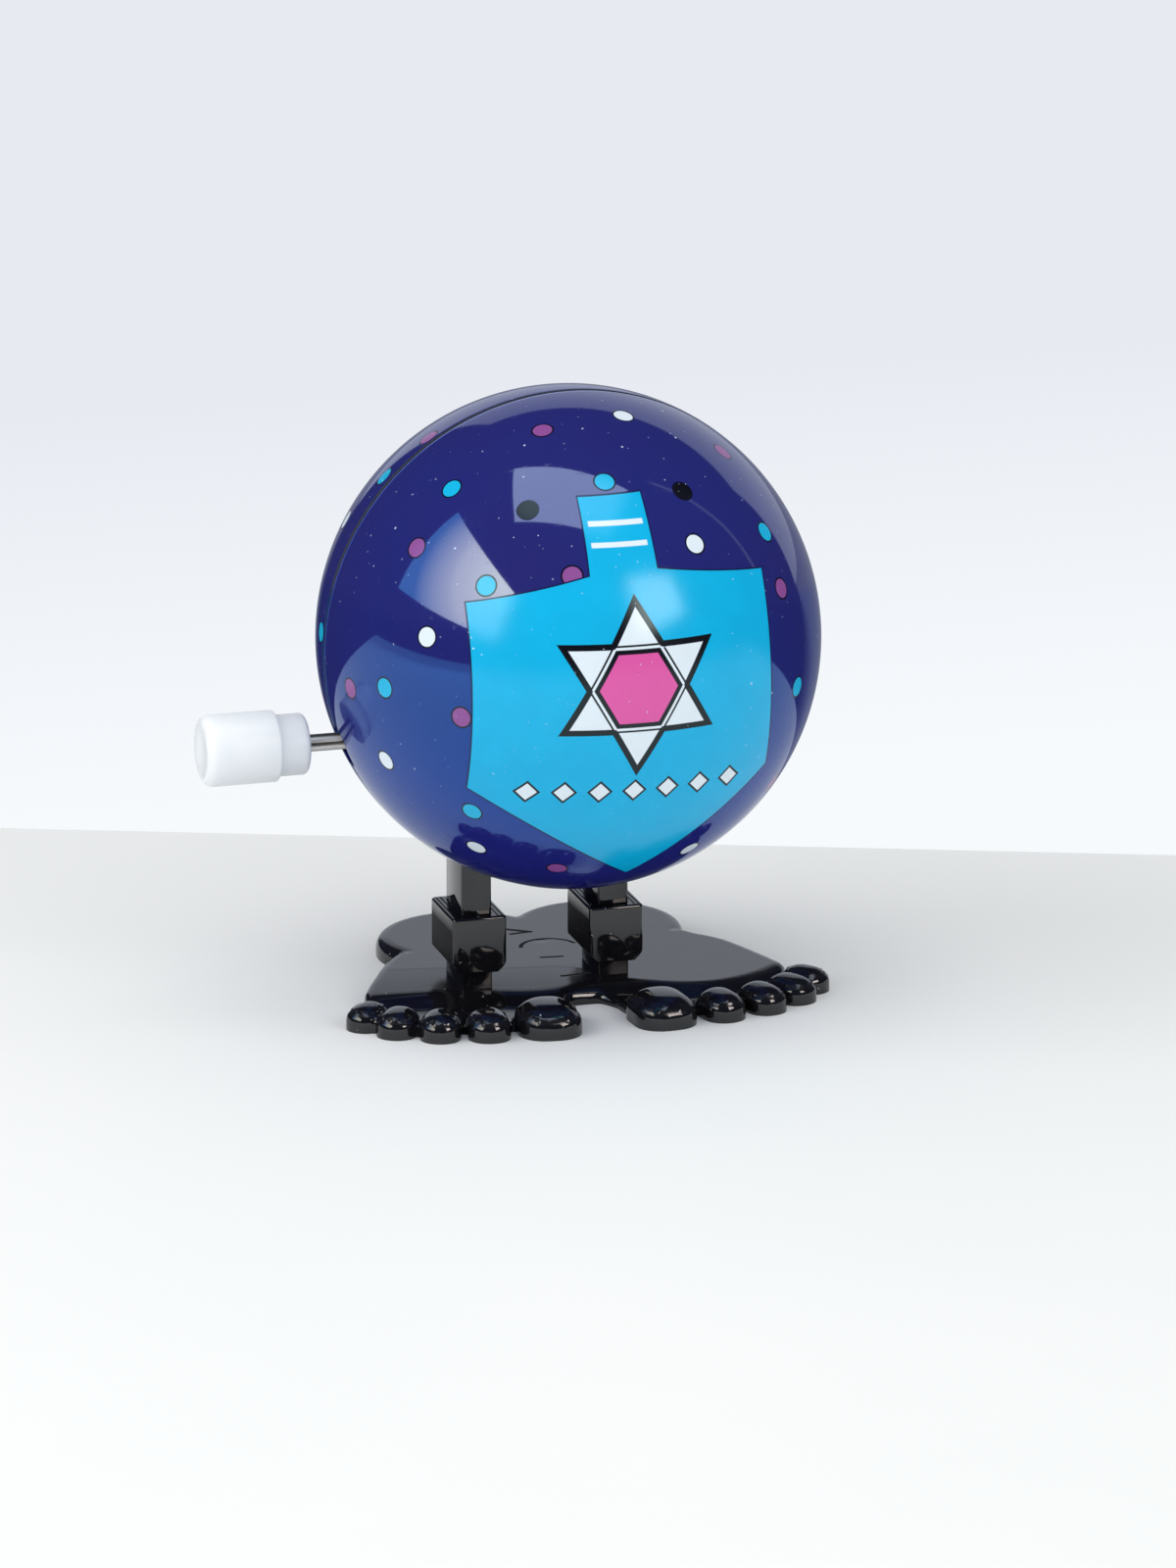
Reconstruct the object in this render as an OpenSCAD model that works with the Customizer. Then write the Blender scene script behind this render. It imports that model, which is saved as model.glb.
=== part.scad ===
// Wind-up hopping ball: a two-shell ball on a pair of joined feet, with a clockwork crank drive inside.
// Origin on the floor under the ball's centre. Front is -Y, up is +Z, the winding knob points to -X.

/* [Ball] */
// Outer radius of the ball
ball_r = 25; // [24:0.5:28]
// Height of the ball's underside above the floor
ball_low = 11.9; // [11.5:0.1:15]
// Wall of the two shells
shell_wall = 1.2; // [1:0.1:1.6]
// How far the front shell's lip reaches into the rear shell
lip_reach = 1.6; // [1:0.1:2.5]
// Thickness of the lip
lip_wall = 0.8; // [0.6:0.1:1]
// Radius of the hole that the winding stem passes through
stem_hole_r = 1.5; // [1.2:0.1:2]

/* [Winding knob and stem] */
// Height of the stem's axis above the ball's underside
stem_rise = 16.1; // [15.8:0.1:16.6]
// Outer radius of the rolled steel stem
stem_r = 0.85; // [0.75:0.05:0.95]
// Steel thickness of the stem
stem_wall = 0.35; // [0.25:0.05:0.4]
// Width of the slit along the stem
stem_slit = 0.4; // [0.3:0.05:0.5]
// Bare stem between the ball and the knob
stem_show = 3.6; // [2.5:0.1:6]
// Radius of the knob's grip
knob_r = 3.55; // [3:0.05:4.5]
// Length of the knob's grip
knob_grip_len = 7.5; // [5:0.1:9]
// Radius of the knob's narrower collar
knob_collar_r = 3.05; // [2.5:0.05:3.4]
// Length of the knob's narrower collar
knob_collar_len = 3; // [2:0.1:4]
// Rounding of the knob's outer edge
knob_round = 0.9; // [0.4:0.1:1.2]
// How deep the stem sits in the knob
knob_socket = 7; // [5:0.1:7.5]

/* [Feet] */
// Middle of the foot plate, right of the ball's centre
plate_x = 0.5; // [-1:0.1:1]
// Thickness of the foot plate
plate_t = 2; // [1.8:0.1:2.4]
// Radius of each heel
heel_r = 8.9; // [8.4:0.1:9.3]
// Heel centre, out from the middle
heel_x = 7; // [6.6:0.1:7.4]
// Heel centre, back from the origin
heel_y = 16; // [15:0.1:17]
// Half width of the plate at the arches
waist_x = 16.1; // [15.5:0.1:17]
// The arches, back from the origin
waist_y = 10; // [9:0.1:11]
// Half width of the plate behind the small toes
fore_x = 21.4; // [20:0.1:22]
// Widest place of the plate, forward of the origin
fore_y = 1.2; // [0.5:0.1:3]
// Half width of the notch between the big toes
notch_half = 2.7; // [2.2:0.1:3.2]
// Where the notch ends, forward of the origin
notch_y = 4.2; // [3.5:0.1:5]
// Tip of the smallest toe, out from the middle
toe_span = 24.4; // [23:0.1:25]
// Tip of the big toe, forward of the origin
toe_reach = 15; // [14:0.1:16]
// Length of the big toe
big_toe_len = 7.4; // [7:0.1:8.2]
// Width of the big toe
big_toe_w = 6.4; // [6:0.1:6.8]
// Height of the big toe
big_toe_h = 3.3; // [3.2:0.1:3.6]
// Length of the other toes
toe_len = 5.6; // [5.4:0.1:6.2]
// Width of the other toes
toe_w = 4.3; // [4.1:0.1:4.6]
// Height of the other toes
toe_h = 2.6; // [2.5:0.1:2.9]

/* [Legs] */
// Middle plane between the two legs
leg_mid_x = -2.8; // [-3:0.1:-2.6]
// Distance between the middles of the legs
leg_spacing = 14.12; // [13.8:0.02:14.4]
// Width of a leg, side to side
leg_w = 3.1; // [2.9:0.05:3.15]
// Depth of a leg, front to back
leg_d = 6; // [5.7:0.1:6.3]
// Middle of the legs, back from the origin
leg_y = 1.6; // [1.2:0.1:1.8]
// Width of the socket that holds a leg
socket_w = 5.6; // [5.3:0.05:5.8]
// Depth of the socket that holds a leg
socket_d = 8.4; // [7.8:0.1:8.8]
// Height of the socket's top above the floor
socket_top = 9.4; // [8.6:0.1:9.8]
// Height of the socket's underside above the floor
socket_base = 3.6; // [3.3:0.1:4]
// Chamfer round the socket's underside
socket_chamfer = 0.8; // [0.5:0.1:1]
// Floor of the socket's pocket above the floor
pocket_floor = 5.3; // [5:0.1:6]
// Thickness of the upper leg, beside the crank
leg_plate_t = 1.4; // [1.2:0.1:1.5]

/* [Crank] */
// Throw of the cranks: half of the feet's stroke
throw = 1.2; // [0.9:0.1:1.3]
// Radius of the crank axle
axle_r = 0.75; // [0.65:0.05:0.8]
// Radius of a crank disc
disc_r = 2.6; // [2.4:0.1:2.7]
// Radius of a crank pin
crank_pin_r = 0.8; // [0.7:0.05:0.85]
// Radius of the snap head that keeps the leg on
crank_head_r = 1.15; // [1:0.05:1.3]
// Thickness of the snap head
crank_head_t = 0.6; // [0.4:0.1:0.8]
// Radius of the fixed post that guides a leg
guide_r = 0.8; // [0.7:0.05:0.85]

/* [Gear train] */
// Module of the spring wheel and the idler's pinion
coarse_module = 0.5; // [0.5:0.01:0.52]
// Module of the other gears
fine_module = 0.4; // [0.38:0.01:0.42]
// Teeth of the spring wheel
great_teeth = 26; // [24:1:27]
// Teeth of every pinion
pinion_teeth = 10; // [10:1:11]
// Teeth of the idler's wheel
idler_teeth = 20; // [18:1:20]
// Teeth of the crank's wheel
crank_teeth = 18; // [16:1:18]
// Pressure angle of the teeth, in degrees
pressure_angle = 25; // [24:1:26]
// Teeth of the escape wheel
escape_teeth = 9; // [8:1:10]
// Radius over the escape wheel's teeth
escape_r = 2.85; // [2.6:0.05:2.9]
// Direction from the crank axle to the escape pin, in degrees
escape_dir = 172; // [168:1:174]
// Direction from the escape pin to the pallet's pin, in degrees
pallet_dir = 140; // [135:1:142]
// Thickness of the spring wheel
great_t = 1.7; // [1.5:0.1:1.8]
// Thickness of the idler's wheel and the escape wheel
idler_t = 1.1; // [1:0.1:1.2]
// Thickness of the crank's wheel
crank_wheel_t = 1.2; // [1:0.1:1.3]
// Radius of the idler's pin
idler_pin_r = 0.6; // [0.5:0.05:0.7]
// Radius of the escape wheel's and the pallet's pins
thin_pin_r = 0.5; // [0.4:0.05:0.55]

/* [Mainspring] */
// Width of the spring strip
spring_w = 3.2; // [3:0.1:3.3]
// Thickness of the spring strip
spring_t = 0.2; // [0.15:0.01:0.22]
// Turns of the spring
spring_turns = 6.25; // [4.25:1:6.25]

/* [Gearbox] */
// Wall of the gearbox
case_wall = 0.8; // [0.7:0.05:0.9]
// Radius of the bosses that take the cover's pegs
boss_r = 1.6; // [1.4:0.05:1.7]
// Radius of the cover's pegs
peg_r = 0.8; // [0.6:0.05:0.9]
// Length of the cover's pegs
peg_len = 4; // [3:0.1:6]
// Height of the two upper mounting arms above the stem's axis
arm_up = 2.6; // [2:0.1:3]
// Depth of the two lower mounting arms below the stem's axis
arm_down = 7.4; // [7:0.1:7.8]
// Radius of a mounting arm
arm_r = 1.7; // [1.5:0.1:1.9]
// Radius of the spigot on a mounting arm
spigot_r = 0.9; // [0.7:0.05:1]
// Length of the spigot on a mounting arm
spigot_len = 2; // [1.5:0.1:2.2]
// Outer radius of the shells' posts
post_r = 2.1; // [1.9:0.1:2.3]
// Length of the lower posts, from the shell's wall to the arm
post_len = 3.9; // [3.5:0.1:4.3]

/* [Clearances] */
// Radial running clearance of a shaft in its bore
run_fit = 0.05; // [0.03:0.01:0.08]
// Radial clearance of a pin that is pressed or glued
press_fit = 0.02; // [0.01:0.01:0.03]
// Gap beside a moving piece
side_gap = 0.3; // [0.25:0.05:0.35]
// Wider gap round a wheel or a piece that orbits
wide_gap = 0.4; // [0.35:0.05:0.5]
// End play of a wheel between the gearbox walls
end_play = 0.1; // [0.08:0.01:0.15]
// Extra distance between gear centres
centre_gap = 0.05; // [0.04:0.01:0.06]
// Thinning of each tooth at the pitch circle
backlash = 0.04; // [0.03:0.01:0.06]

/* [Hidden] */
$fn = 48;
// Facets of the ball's surfaces
shell_fn = 144;

// Overrun of a cut past the face that it opens
over = 1;
// Degrees in one radian
rad = 180 / PI;
// Addendum and dedendum of the stub teeth, as shares of the module
addendum_share = 0.8;
dedendum_share = 1.05;
// Places along a tooth flank, as shares of its height
flank_shares = [0, 0.3, 0.65, 1];

// Sizes of the pallet, which is a yoke round the escape wheel with a nib at each end
pallet_hub_r = 1;
yoke_t = 0.65;
yoke_half_angle = 42;
yoke_steps = 12;
nib_gap = 0.5;
nib_len = 0.2;
nib_angle = 9;

// The ball's centre, and the stem's axis below it
ball_z = ball_low + ball_r;
stem_drop = ball_r - stem_rise;

// Places of the shafts, as [y, z]
stem_at = [0, ball_z - stem_drop];
great_r = coarse_module * great_teeth / 2;
great_tip = great_r + addendum_share * coarse_module;
crank_reach = great_tip + axle_r + wide_gap;
crank_at = [leg_y, stem_at.y - sqrt(crank_reach * crank_reach - leg_y * leg_y)];
first_mesh = coarse_module * (great_teeth + pinion_teeth) / 2 + centre_gap;
second_mesh = fine_module * (idler_teeth + pinion_teeth) / 2 + centre_gap;
third_mesh = fine_module * (crank_teeth + pinion_teeth) / 2 + centre_gap;
idler_at = corner(stem_at, crank_at, first_mesh, second_mesh);
escape_at = crank_at + third_mesh * unit(escape_dir);
pallet_reach = escape_r + nib_gap + yoke_t + pallet_hub_r / 2;
pallet_at = escape_at + pallet_reach * unit(pallet_dir);
pin_at = crank_at + [0, throw];

// Radii of the wheels and their hubs
idler_tip = fine_module * (idler_teeth / 2 + addendum_share);
crank_tip = fine_module * (crank_teeth / 2 + addendum_share);
hub_r = 1.15;
thin_hub_r = 0.9;
great_hub_r = 1.6;
escape_root_share = 0.72;

// Layers of the gearbox along X, from the wall beside the left leg
case_w = 2 * case_wall + 5 * side_gap + great_t + spring_w + idler_t + crank_wheel_t;
case_x0 = leg_mid_x - case_w / 2;
case_x1 = leg_mid_x + case_w / 2;
cavity_x0 = case_x0 + case_wall;
cavity_x1 = case_x1 - case_wall;
great_x = cavity_x0 + side_gap;
spring_x = great_x + great_t + side_gap;
idler_x = spring_x + spring_w + side_gap;
crank_wheel_x = idler_x + idler_t + side_gap;

// Directions and distances of the three bosses from the stem; the low one clears the escape wheel
boss_dirs = [45, 135, 225.3];
boss_reach = great_tip + wide_gap + boss_r;
low_boss_reach = 12.65;
boss_reaches = [boss_reach, boss_reach, low_boss_reach];
bosses = [for (i = [0:2]) stem_at + boss_reaches[i] * unit(boss_dirs[i])];

// Outline of the gearbox: circles round the shafts and bosses, as [y, z, radius]
cavity_circles = concat(
    [ring(stem_at, great_tip + side_gap),
     ring(idler_at, idler_tip + side_gap),
     ring(crank_at, crank_tip + side_gap),
     ring(pallet_at, pallet_hub_r + side_gap)],
    [for (b = bosses) ring(b, boss_r - case_wall / 2)]);
outline_step = 6;

// Mounting arms: their heights above the stem, and their reach to where the shells' posts begin
arm_rises = [arm_up, -arm_down];
arm_reach = sqrt(pow(ball_r - shell_wall, 2) - pow(stem_drop + arm_down, 2) - leg_mid_x * leg_mid_x)
    - post_len;

// Room round the guide post beyond the feet's orbit
guide_room = 0.2;

// Legs and cranks along X, for the left leg; the right one mirrors it
leg_out = leg_spacing / 2 + leg_w / 2;
leg_in = leg_spacing / 2 - leg_w / 2;
disc_out = leg_out - leg_plate_t - side_gap;
guide_at = crank_at + [0, disc_r + guide_r + wide_gap];
leg_top = stem_at.y - stem_r - wide_gap;
leg_step = crank_at.y - disc_r - wide_gap;
guide_out = leg_out + side_gap;

// How far the lip's root is backed by the front shell
lip_root = 1.2;

// Openings of the shells
leg_open_x = leg_w + 2 * wide_gap;
leg_open_y = leg_d + 2 * throw + 2 * wide_gap;
lip_r = sqrt(pow(ball_r - shell_wall, 2) - lip_reach * lip_reach) - run_fit;
leg_open_top = ball_z - sqrt(pow(lip_r - lip_wall, 2) - pow(abs(leg_mid_x) + leg_out + wide_gap, 2));

// Chamfer of the knob's steps, and the angle between points of its rounding
knob_chamfer = 0.4;
round_step = 15;

// Knob along X
knob_in = -sqrt(ball_r * ball_r - stem_drop * stem_drop) - stem_show;
knob_out = knob_in - knob_collar_len - knob_grip_len;
stem_x0 = knob_in - knob_socket;

// Toes, big to small: tip place as shares of toe_span and toe_reach, then the outward turn in degrees
toe_tip_shares = [[0.25, 1], [0.51, 0.95], [0.71, 0.86], [0.88, 0.7], [1, 0.47]];
toe_turns = [4, 9, 17, 27, 40];
toe_size_shares = [1, 1, 0.97, 0.96, 0.94];
// Edge of the plate from the arch to the widest place, as shares of that stretch
edge_shares = [[0, 0], [0.36, 0.2], [0.6, 0.44], [0.79, 0.69], [1, 1]];
// A toe's root lies this share of its length behind the tip
toe_root_share = 0.55;
toe_steps = 10;
// Places of the arch's corner on the heel, as shares of the heel's radius
arch_shares = [0.125, 0.25];
// Chamfer in the corners of the notch between the big toes
notch_round = 1.6;

// A [y, z] direction from an angle about +X, counted from +Y
function unit(a) = [cos(a), sin(a)];

// A circle written as [y, z, radius]
function ring(at, r) = [at.x, at.y, r];

// The point at distance a from p and b from q, on the side of +Y
function corner(p, q, a, b) =
    let (v = q - p, d = norm(v), c = (a * a + d * d - b * b) / (2 * a * d))
    p + a * unit(atan2(v.y, v.x) + acos(c));

// The direction from one shaft to another
function heading(p, q) = atan2(q.y - p.y, q.x - p.x);

// Turn of a gear that meshes with one turned by first, when dir points from the first to it
function mesh_turn(dir, first_teeth, teeth, first) =
    dir + 180 + 180 / teeth - (first - dir) * first_teeth / teeth;

// The involute function of an angle, in degrees
function involute(a) = tan(a) * rad - a;

// Half angle of a tooth at radius r
function half_tooth(m, teeth, r) =
    let (pitch_r = m * teeth / 2, base_r = pitch_r * cos(pressure_angle))
    90 / teeth - backlash / 2 / pitch_r * rad
        + involute(pressure_angle) - involute(acos(min(1, base_r / r)));

// Outline of a spur gear with involute flanks
function gear_outline(m, teeth) =
    let (pitch_r = m * teeth / 2,
        base_r = pitch_r * cos(pressure_angle),
        root_r = pitch_r - dedendum_share * m,
        tip_r = pitch_r + addendum_share * m,
        low_r = max(base_r, root_r),
        radii = [for (s = flank_shares) low_r + s * (tip_r - low_r)],
        up = [for (r = radii) [r, -half_tooth(m, teeth, r)]],
        side = concat([[root_r, up[0].y]], up),
        last = len(side) - 1,
        tooth = concat(side, [for (i = [last:-1:0]) [side[i].x, -side[i].y]]))
    [for (k = [0:teeth - 1]) for (p = tooth) p.x * unit(p.y + k * 360 / teeth)];

// Outline of the escape wheel, whose pointed teeth lean one way
function escape_outline() =
    let (pitch = 360 / escape_teeth)
    [for (k = [0:escape_teeth - 1])
        for (p = [[escape_root_share, 0], [1, 0.08], [1, 0.2], [escape_root_share, 0.62]])
            escape_r * p.x * unit((k + p.y) * pitch)];

// The circle of a list that reaches furthest along direction a
function furthest(circles, a, i = 0, best = 0) =
    i == len(circles) ? circles[best]
    : furthest(circles, a, i + 1, reach(circles[i], a) > reach(circles[best], a) ? i : best);
function reach(c, a) = [c.x, c.y] * unit(a) + c.z;

// Convex outline round circles that are grown by extra
function outline_round(circles, extra = 0) =
    [for (a = [0:outline_step:360 - outline_step])
        let (c = furthest(circles, a)) [c.x, c.y] + (c.z + extra) * unit(a)];

// Points along the flat spiral of the mainspring
spring_r0 = stem_r + wide_gap;
spring_r1 = great_tip - 3 * side_gap;
spring_end = spring_turns * 360;
spring_step = 15;
function spiral(a, side) =
    (spring_r0 + (spring_r1 - spring_r0) * a / spring_end + side * spring_t / 2) * unit(a);
spiral_angles = [for (i = [0:spring_end / spring_step]) i * spring_step];
spring_least_gap = min([for (a = spiral_angles) if (a >= 360)
    min([for (b = spiral_angles) if (b <= a - 180) norm(spiral(a, -1) - spiral(b, 1))])]);
echo(least_gap_between_spring_turns = spring_least_gap);

// Draws a [y, z] outline and gives it a length along X from x0 to x1
module along_x(x0, x1)
    translate([x0, 0, 0]) rotate([90, 0, 90]) linear_extrude(x1 - x0) children();

// A shaft, pin or bore along X at a [y, z] place
module rod(at, r, x0, x1)
    along_x(x0, x1) translate(at) circle(r);

// A rod along Y from y0 to y1 at x and z
module rod_y(x, z, r, y0, y1)
    translate([x, y0, z]) rotate([-90, 0, 0]) cylinder(r = r, h = y1 - y0);

// A spur gear on a shaft along X
module gear(at, m, teeth, turn, x0, x1)
    along_x(x0, x1) translate(at) rotate(turn) polygon(gear_outline(m, teeth));

// A box centred on [x, y], from z0 to z1
module post_box(x, y, w, d, z0, z1)
    translate([x - w / 2, y - d / 2, z0]) cube([w, d, z1 - z0]);

// Turns of the gears, so that all are in mesh at rest
idler_pinion_turn = mesh_turn(heading(stem_at, idler_at), great_teeth, pinion_teeth, 0);
crank_pinion_turn = mesh_turn(heading(idler_at, crank_at), idler_teeth, pinion_teeth, 0);
escape_pinion_turn = mesh_turn(heading(crank_at, escape_at), crank_teeth, pinion_teeth, 0);

// Everything that is cut out of both shells: the stem's hole and the two leg openings
module shell_cuts() {
    rod(stem_at, stem_hole_r, -ball_r - over, -ball_r / 2);
    for (side = [-1, 1])
        post_box(leg_mid_x + side * leg_spacing / 2, leg_y, leg_open_x, leg_open_y,
            ball_z - ball_r - over, leg_open_top);
}

// Profile of a shell about the Y axis, as [radius, distance from the seam]
module shell_profile() difference() {
    intersection() {
        circle(ball_r, $fn = shell_fn);
        square(ball_r + over);
    }
    circle(ball_r - shell_wall, $fn = shell_fn);
}

// One half of the ball on the side of +Y or -Y: its children are added to the wall's profile
module half_ball(side) {
    translate([0, 0, ball_z]) rotate([side > 0 ? -90 : 90, 0, 0]) rotate_extrude($fn = shell_fn) {
        shell_profile();
        children();
    }
    mirror([0, side > 0 ? 0 : 1, 0]) intersection() {
        translate([0, 0, ball_z]) sphere(ball_r - shell_wall / 2, $fn = shell_fn);
        for (rise = arm_rises) difference() {
            rod_y(leg_mid_x, stem_at.y + rise, post_r, arm_reach + end_play, ball_r);
            rod_y(leg_mid_x, stem_at.y + rise, spigot_r + press_fit, arm_reach + end_play - over,
                arm_reach + spigot_len + end_play);
        }
    }
}

module shell_front() color("#2d2378") difference() {
    half_ball(-1) polygon([
        [lip_r - lip_wall, lip_root],
        [ball_r - shell_wall / 2, lip_root],
        [ball_r - shell_wall / 2, 0],
        [lip_r, 0],
        [lip_r, -lip_reach],
        [lip_r - lip_wall, -lip_reach]]);
    shell_cuts();
}

module shell_rear() color("#2d2378") difference() {
    half_ball(1);
    shell_cuts();
}

// Profile of the knob, as [radius, distance out along the axis]
knob_profile = concat(
    [[0, 0], [knob_collar_r - knob_chamfer, 0], [knob_collar_r, knob_chamfer],
     [knob_collar_r, knob_collar_len], [knob_r, knob_collar_len + knob_chamfer]],
    [for (a = [0:round_step:90])
        [knob_r - knob_round + knob_round * cos(a),
         knob_collar_len + knob_grip_len - knob_round + knob_round * sin(a)]],
    [[0, knob_collar_len + knob_grip_len]]);

module winding_knob() color("#e9edf0") difference() {
    translate([knob_in, stem_at.x, stem_at.y]) rotate([0, -90, 0]) rotate_extrude() polygon(knob_profile);
    rod(stem_at, stem_r + press_fit, stem_x0, knob_in + over);
}

module winding_stem() color("#b4b6b8") difference() {
    rod(stem_at, stem_r, stem_x0, case_x1);
    rod(stem_at, stem_r - stem_wall, stem_x0 - over, case_x1 + over);
    translate([stem_x0 - over, -stem_r - over, stem_at.y - stem_slit / 2])
        cube([case_x1 - stem_x0 + 2 * over, stem_r + over, stem_slit]);
}

module great_wheel() color("#f2efe4") difference() {
    union() {
        gear(stem_at, coarse_module, great_teeth, 0, great_x, great_x + great_t);
        rod(stem_at, great_hub_r, cavity_x0 + end_play, great_x + great_t);
    }
    rod(stem_at, stem_r + press_fit, cavity_x0 - over, spring_x);
}

// The spring's outer end is a tab bent outwards, which rests against a rib of the case
tab_r0 = spring_r1 - spring_t / 2;
tab_len = 2 * side_gap + wide_gap;
rib_t = 0.8;

module mainspring() color("#8f9498") along_x(spring_x, spring_x + spring_w) translate(stem_at) {
    polygon(concat([for (a = spiral_angles) spiral(a, 1)],
        [for (i = [len(spiral_angles) - 1:-1:0]) spiral(spiral_angles[i], -1)]));
    rotate(spring_end) translate([tab_r0, -spring_t]) square([tab_len, spring_t]);
}

// Arms, spigots and guide posts are part of the two gearbox mouldings
module mounting_arms()
    for (rise = arm_rises, side = [0, 1]) mirror([0, side, 0]) {
        rod_y(leg_mid_x, stem_at.y + rise, arm_r, 0, arm_reach);
        rod_y(leg_mid_x, stem_at.y + rise, spigot_r, 0, arm_reach + spigot_len);
    }

module pin_seats() {
    rod(idler_at, idler_pin_r + press_fit, case_x0 - over, case_x1 + over);
    rod(escape_at, thin_pin_r + press_fit, case_x0 - over, case_x1 + over);
    rod(pallet_at, thin_pin_r + press_fit, case_x0 - over, case_x1 + over);
    rod(crank_at, axle_r + run_fit, case_x0 - over, case_x1 + over);
    rod(stem_at, stem_r + run_fit, case_x0 - over, case_x1 + over);
}

module gearbox_case() color("#e6e6e2") difference() {
    union() {
        difference() {
            union() {
                along_x(case_x0, cavity_x1) polygon(outline_round(cavity_circles, case_wall));
                mounting_arms();
            }
            along_x(cavity_x0, cavity_x1 + over) polygon(outline_round(cavity_circles));
        }
        for (b = bosses) rod(b, boss_r, cavity_x0 - case_wall / 2, cavity_x1);
        along_x(spring_x, spring_x + spring_w) intersection() {
            polygon(outline_round(cavity_circles, case_wall));
            translate(stem_at) rotate(spring_end) translate([spring_r1 + spring_t, 0])
                square([great_tip, rib_t]);
        }
        rod(guide_at, guide_r, leg_mid_x - guide_out, case_x0);
    }
    for (b = bosses) rod(b, peg_r + press_fit, cavity_x1 - peg_len - end_play, cavity_x1 + over);
    pin_seats();
}

module gearbox_cover() color("#e6e6e2") difference() {
    union() {
        along_x(cavity_x1, case_x1) polygon(outline_round(cavity_circles, case_wall));
        for (b = bosses) rod(b, peg_r, cavity_x1 - peg_len, cavity_x1);
        rod(guide_at, guide_r, case_x1, leg_mid_x + guide_out);
    }
    pin_seats();
}

module idler_wheel() color("#f2efe4") difference() {
    union() {
        gear(idler_at, coarse_module, pinion_teeth, idler_pinion_turn, great_x, great_x + great_t);
        gear(idler_at, fine_module, idler_teeth, 0, idler_x, idler_x + idler_t);
        rod(idler_at, hub_r, cavity_x0 + end_play, cavity_x1 - end_play);
    }
    rod(idler_at, idler_pin_r + run_fit, cavity_x0 - over, cavity_x1 + over);
}

module idler_pin() color("#b4b6b8") rod(idler_at, idler_pin_r, case_x0, case_x1);

module crank_wheel() color("#f2efe4") difference() {
    union() {
        gear(crank_at, fine_module, pinion_teeth, crank_pinion_turn, idler_x, idler_x + idler_t);
        gear(crank_at, fine_module, crank_teeth, 0, crank_wheel_x, crank_wheel_x + crank_wheel_t);
        rod(crank_at, hub_r, idler_x, cavity_x1 - end_play);
    }
    rod(crank_at, axle_r + press_fit, idler_x - over, cavity_x1 + over);
}

module crank_axle() color("#b4b6b8") rod(crank_at, axle_r, leg_mid_x - disc_out, leg_mid_x + disc_out);

// A crank disc for the left leg, drawn about X = 0; the right one mirrors it
module crank_disc() difference() {
    union() {
        rod(crank_at, disc_r, -disc_out, -leg_in);
        rod(pin_at, crank_pin_r, -leg_out - side_gap, -disc_out);
        rod(pin_at, crank_head_r, -leg_out - side_gap - crank_head_t, -leg_out - side_gap);
    }
    rod(crank_at, axle_r + press_fit, -disc_out - over, -leg_in + over);
}

module crank_left() color("#f2efe4") translate([leg_mid_x, 0, 0]) crank_disc();

module crank_right() color("#f2efe4") translate([leg_mid_x, 0, 0]) mirror([1, 0, 0]) crank_disc();

module escape_wheel() color("#f2efe4") difference() {
    union() {
        along_x(idler_x, idler_x + idler_t) translate(escape_at) polygon(escape_outline());
        gear(escape_at, fine_module, pinion_teeth, escape_pinion_turn,
            crank_wheel_x, crank_wheel_x + crank_wheel_t);
        rod(escape_at, thin_hub_r, cavity_x0 + end_play, cavity_x1 - end_play);
    }
    rod(escape_at, thin_pin_r + run_fit, cavity_x0 - over, cavity_x1 + over);
}

module escape_pin() color("#b4b6b8") rod(escape_at, thin_pin_r, case_x0, case_x1);

// Outline of the pallet's yoke about the escape pin, with a nib at each end
yoke_r0 = escape_r + nib_gap;
yoke_r1 = yoke_r0 + yoke_t;
yoke_a0 = pallet_dir - yoke_half_angle;
yoke_a1 = pallet_dir + yoke_half_angle;
yoke_outline = concat(
    [for (i = [0:yoke_steps]) yoke_r1 * unit(yoke_a0 + i * (yoke_a1 - yoke_a0) / yoke_steps)],
    [(yoke_r0 - nib_len) * unit(yoke_a1)],
    [for (i = [0:yoke_steps])
        yoke_r0 * unit(yoke_a1 - nib_angle - i * (yoke_a1 - yoke_a0 - 2 * nib_angle) / yoke_steps)],
    [(yoke_r0 - nib_len) * unit(yoke_a0)]);

module pallet() color("#f2efe4") difference() {
    union() {
        along_x(idler_x, idler_x + idler_t) translate(escape_at) polygon(yoke_outline);
        rod(pallet_at, pallet_hub_r, cavity_x0 + end_play, cavity_x1 - end_play);
    }
    rod(pallet_at, thin_pin_r + run_fit, cavity_x0 - over, cavity_x1 + over);
}

module pallet_pin() color("#b4b6b8") rod(pallet_at, thin_pin_r, case_x0, case_x1);

// A left leg, drawn about X = 0: a bar that ends in a thin fork beside the crank disc
module leg() difference() {
    union() {
        post_box(-leg_spacing / 2, leg_y, leg_w, leg_d, pocket_floor, leg_step);
        post_box(-leg_out + leg_plate_t / 2, leg_y, leg_plate_t, leg_d, leg_step - over, leg_top);
    }
    rod(pin_at, crank_pin_r + run_fit, -leg_out - over, -disc_out);
    post_box(-leg_out + leg_plate_t / 2, leg_y, leg_plate_t + 2 * over,
        2 * (throw + guide_r + guide_room), guide_at.y - guide_r - guide_room, leg_top + over);
}

module leg_left() color("#141416") translate([leg_mid_x, 0, 0]) leg();

module leg_right() color("#141416") translate([leg_mid_x, 0, 0]) mirror([1, 0, 0]) leg();

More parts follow.
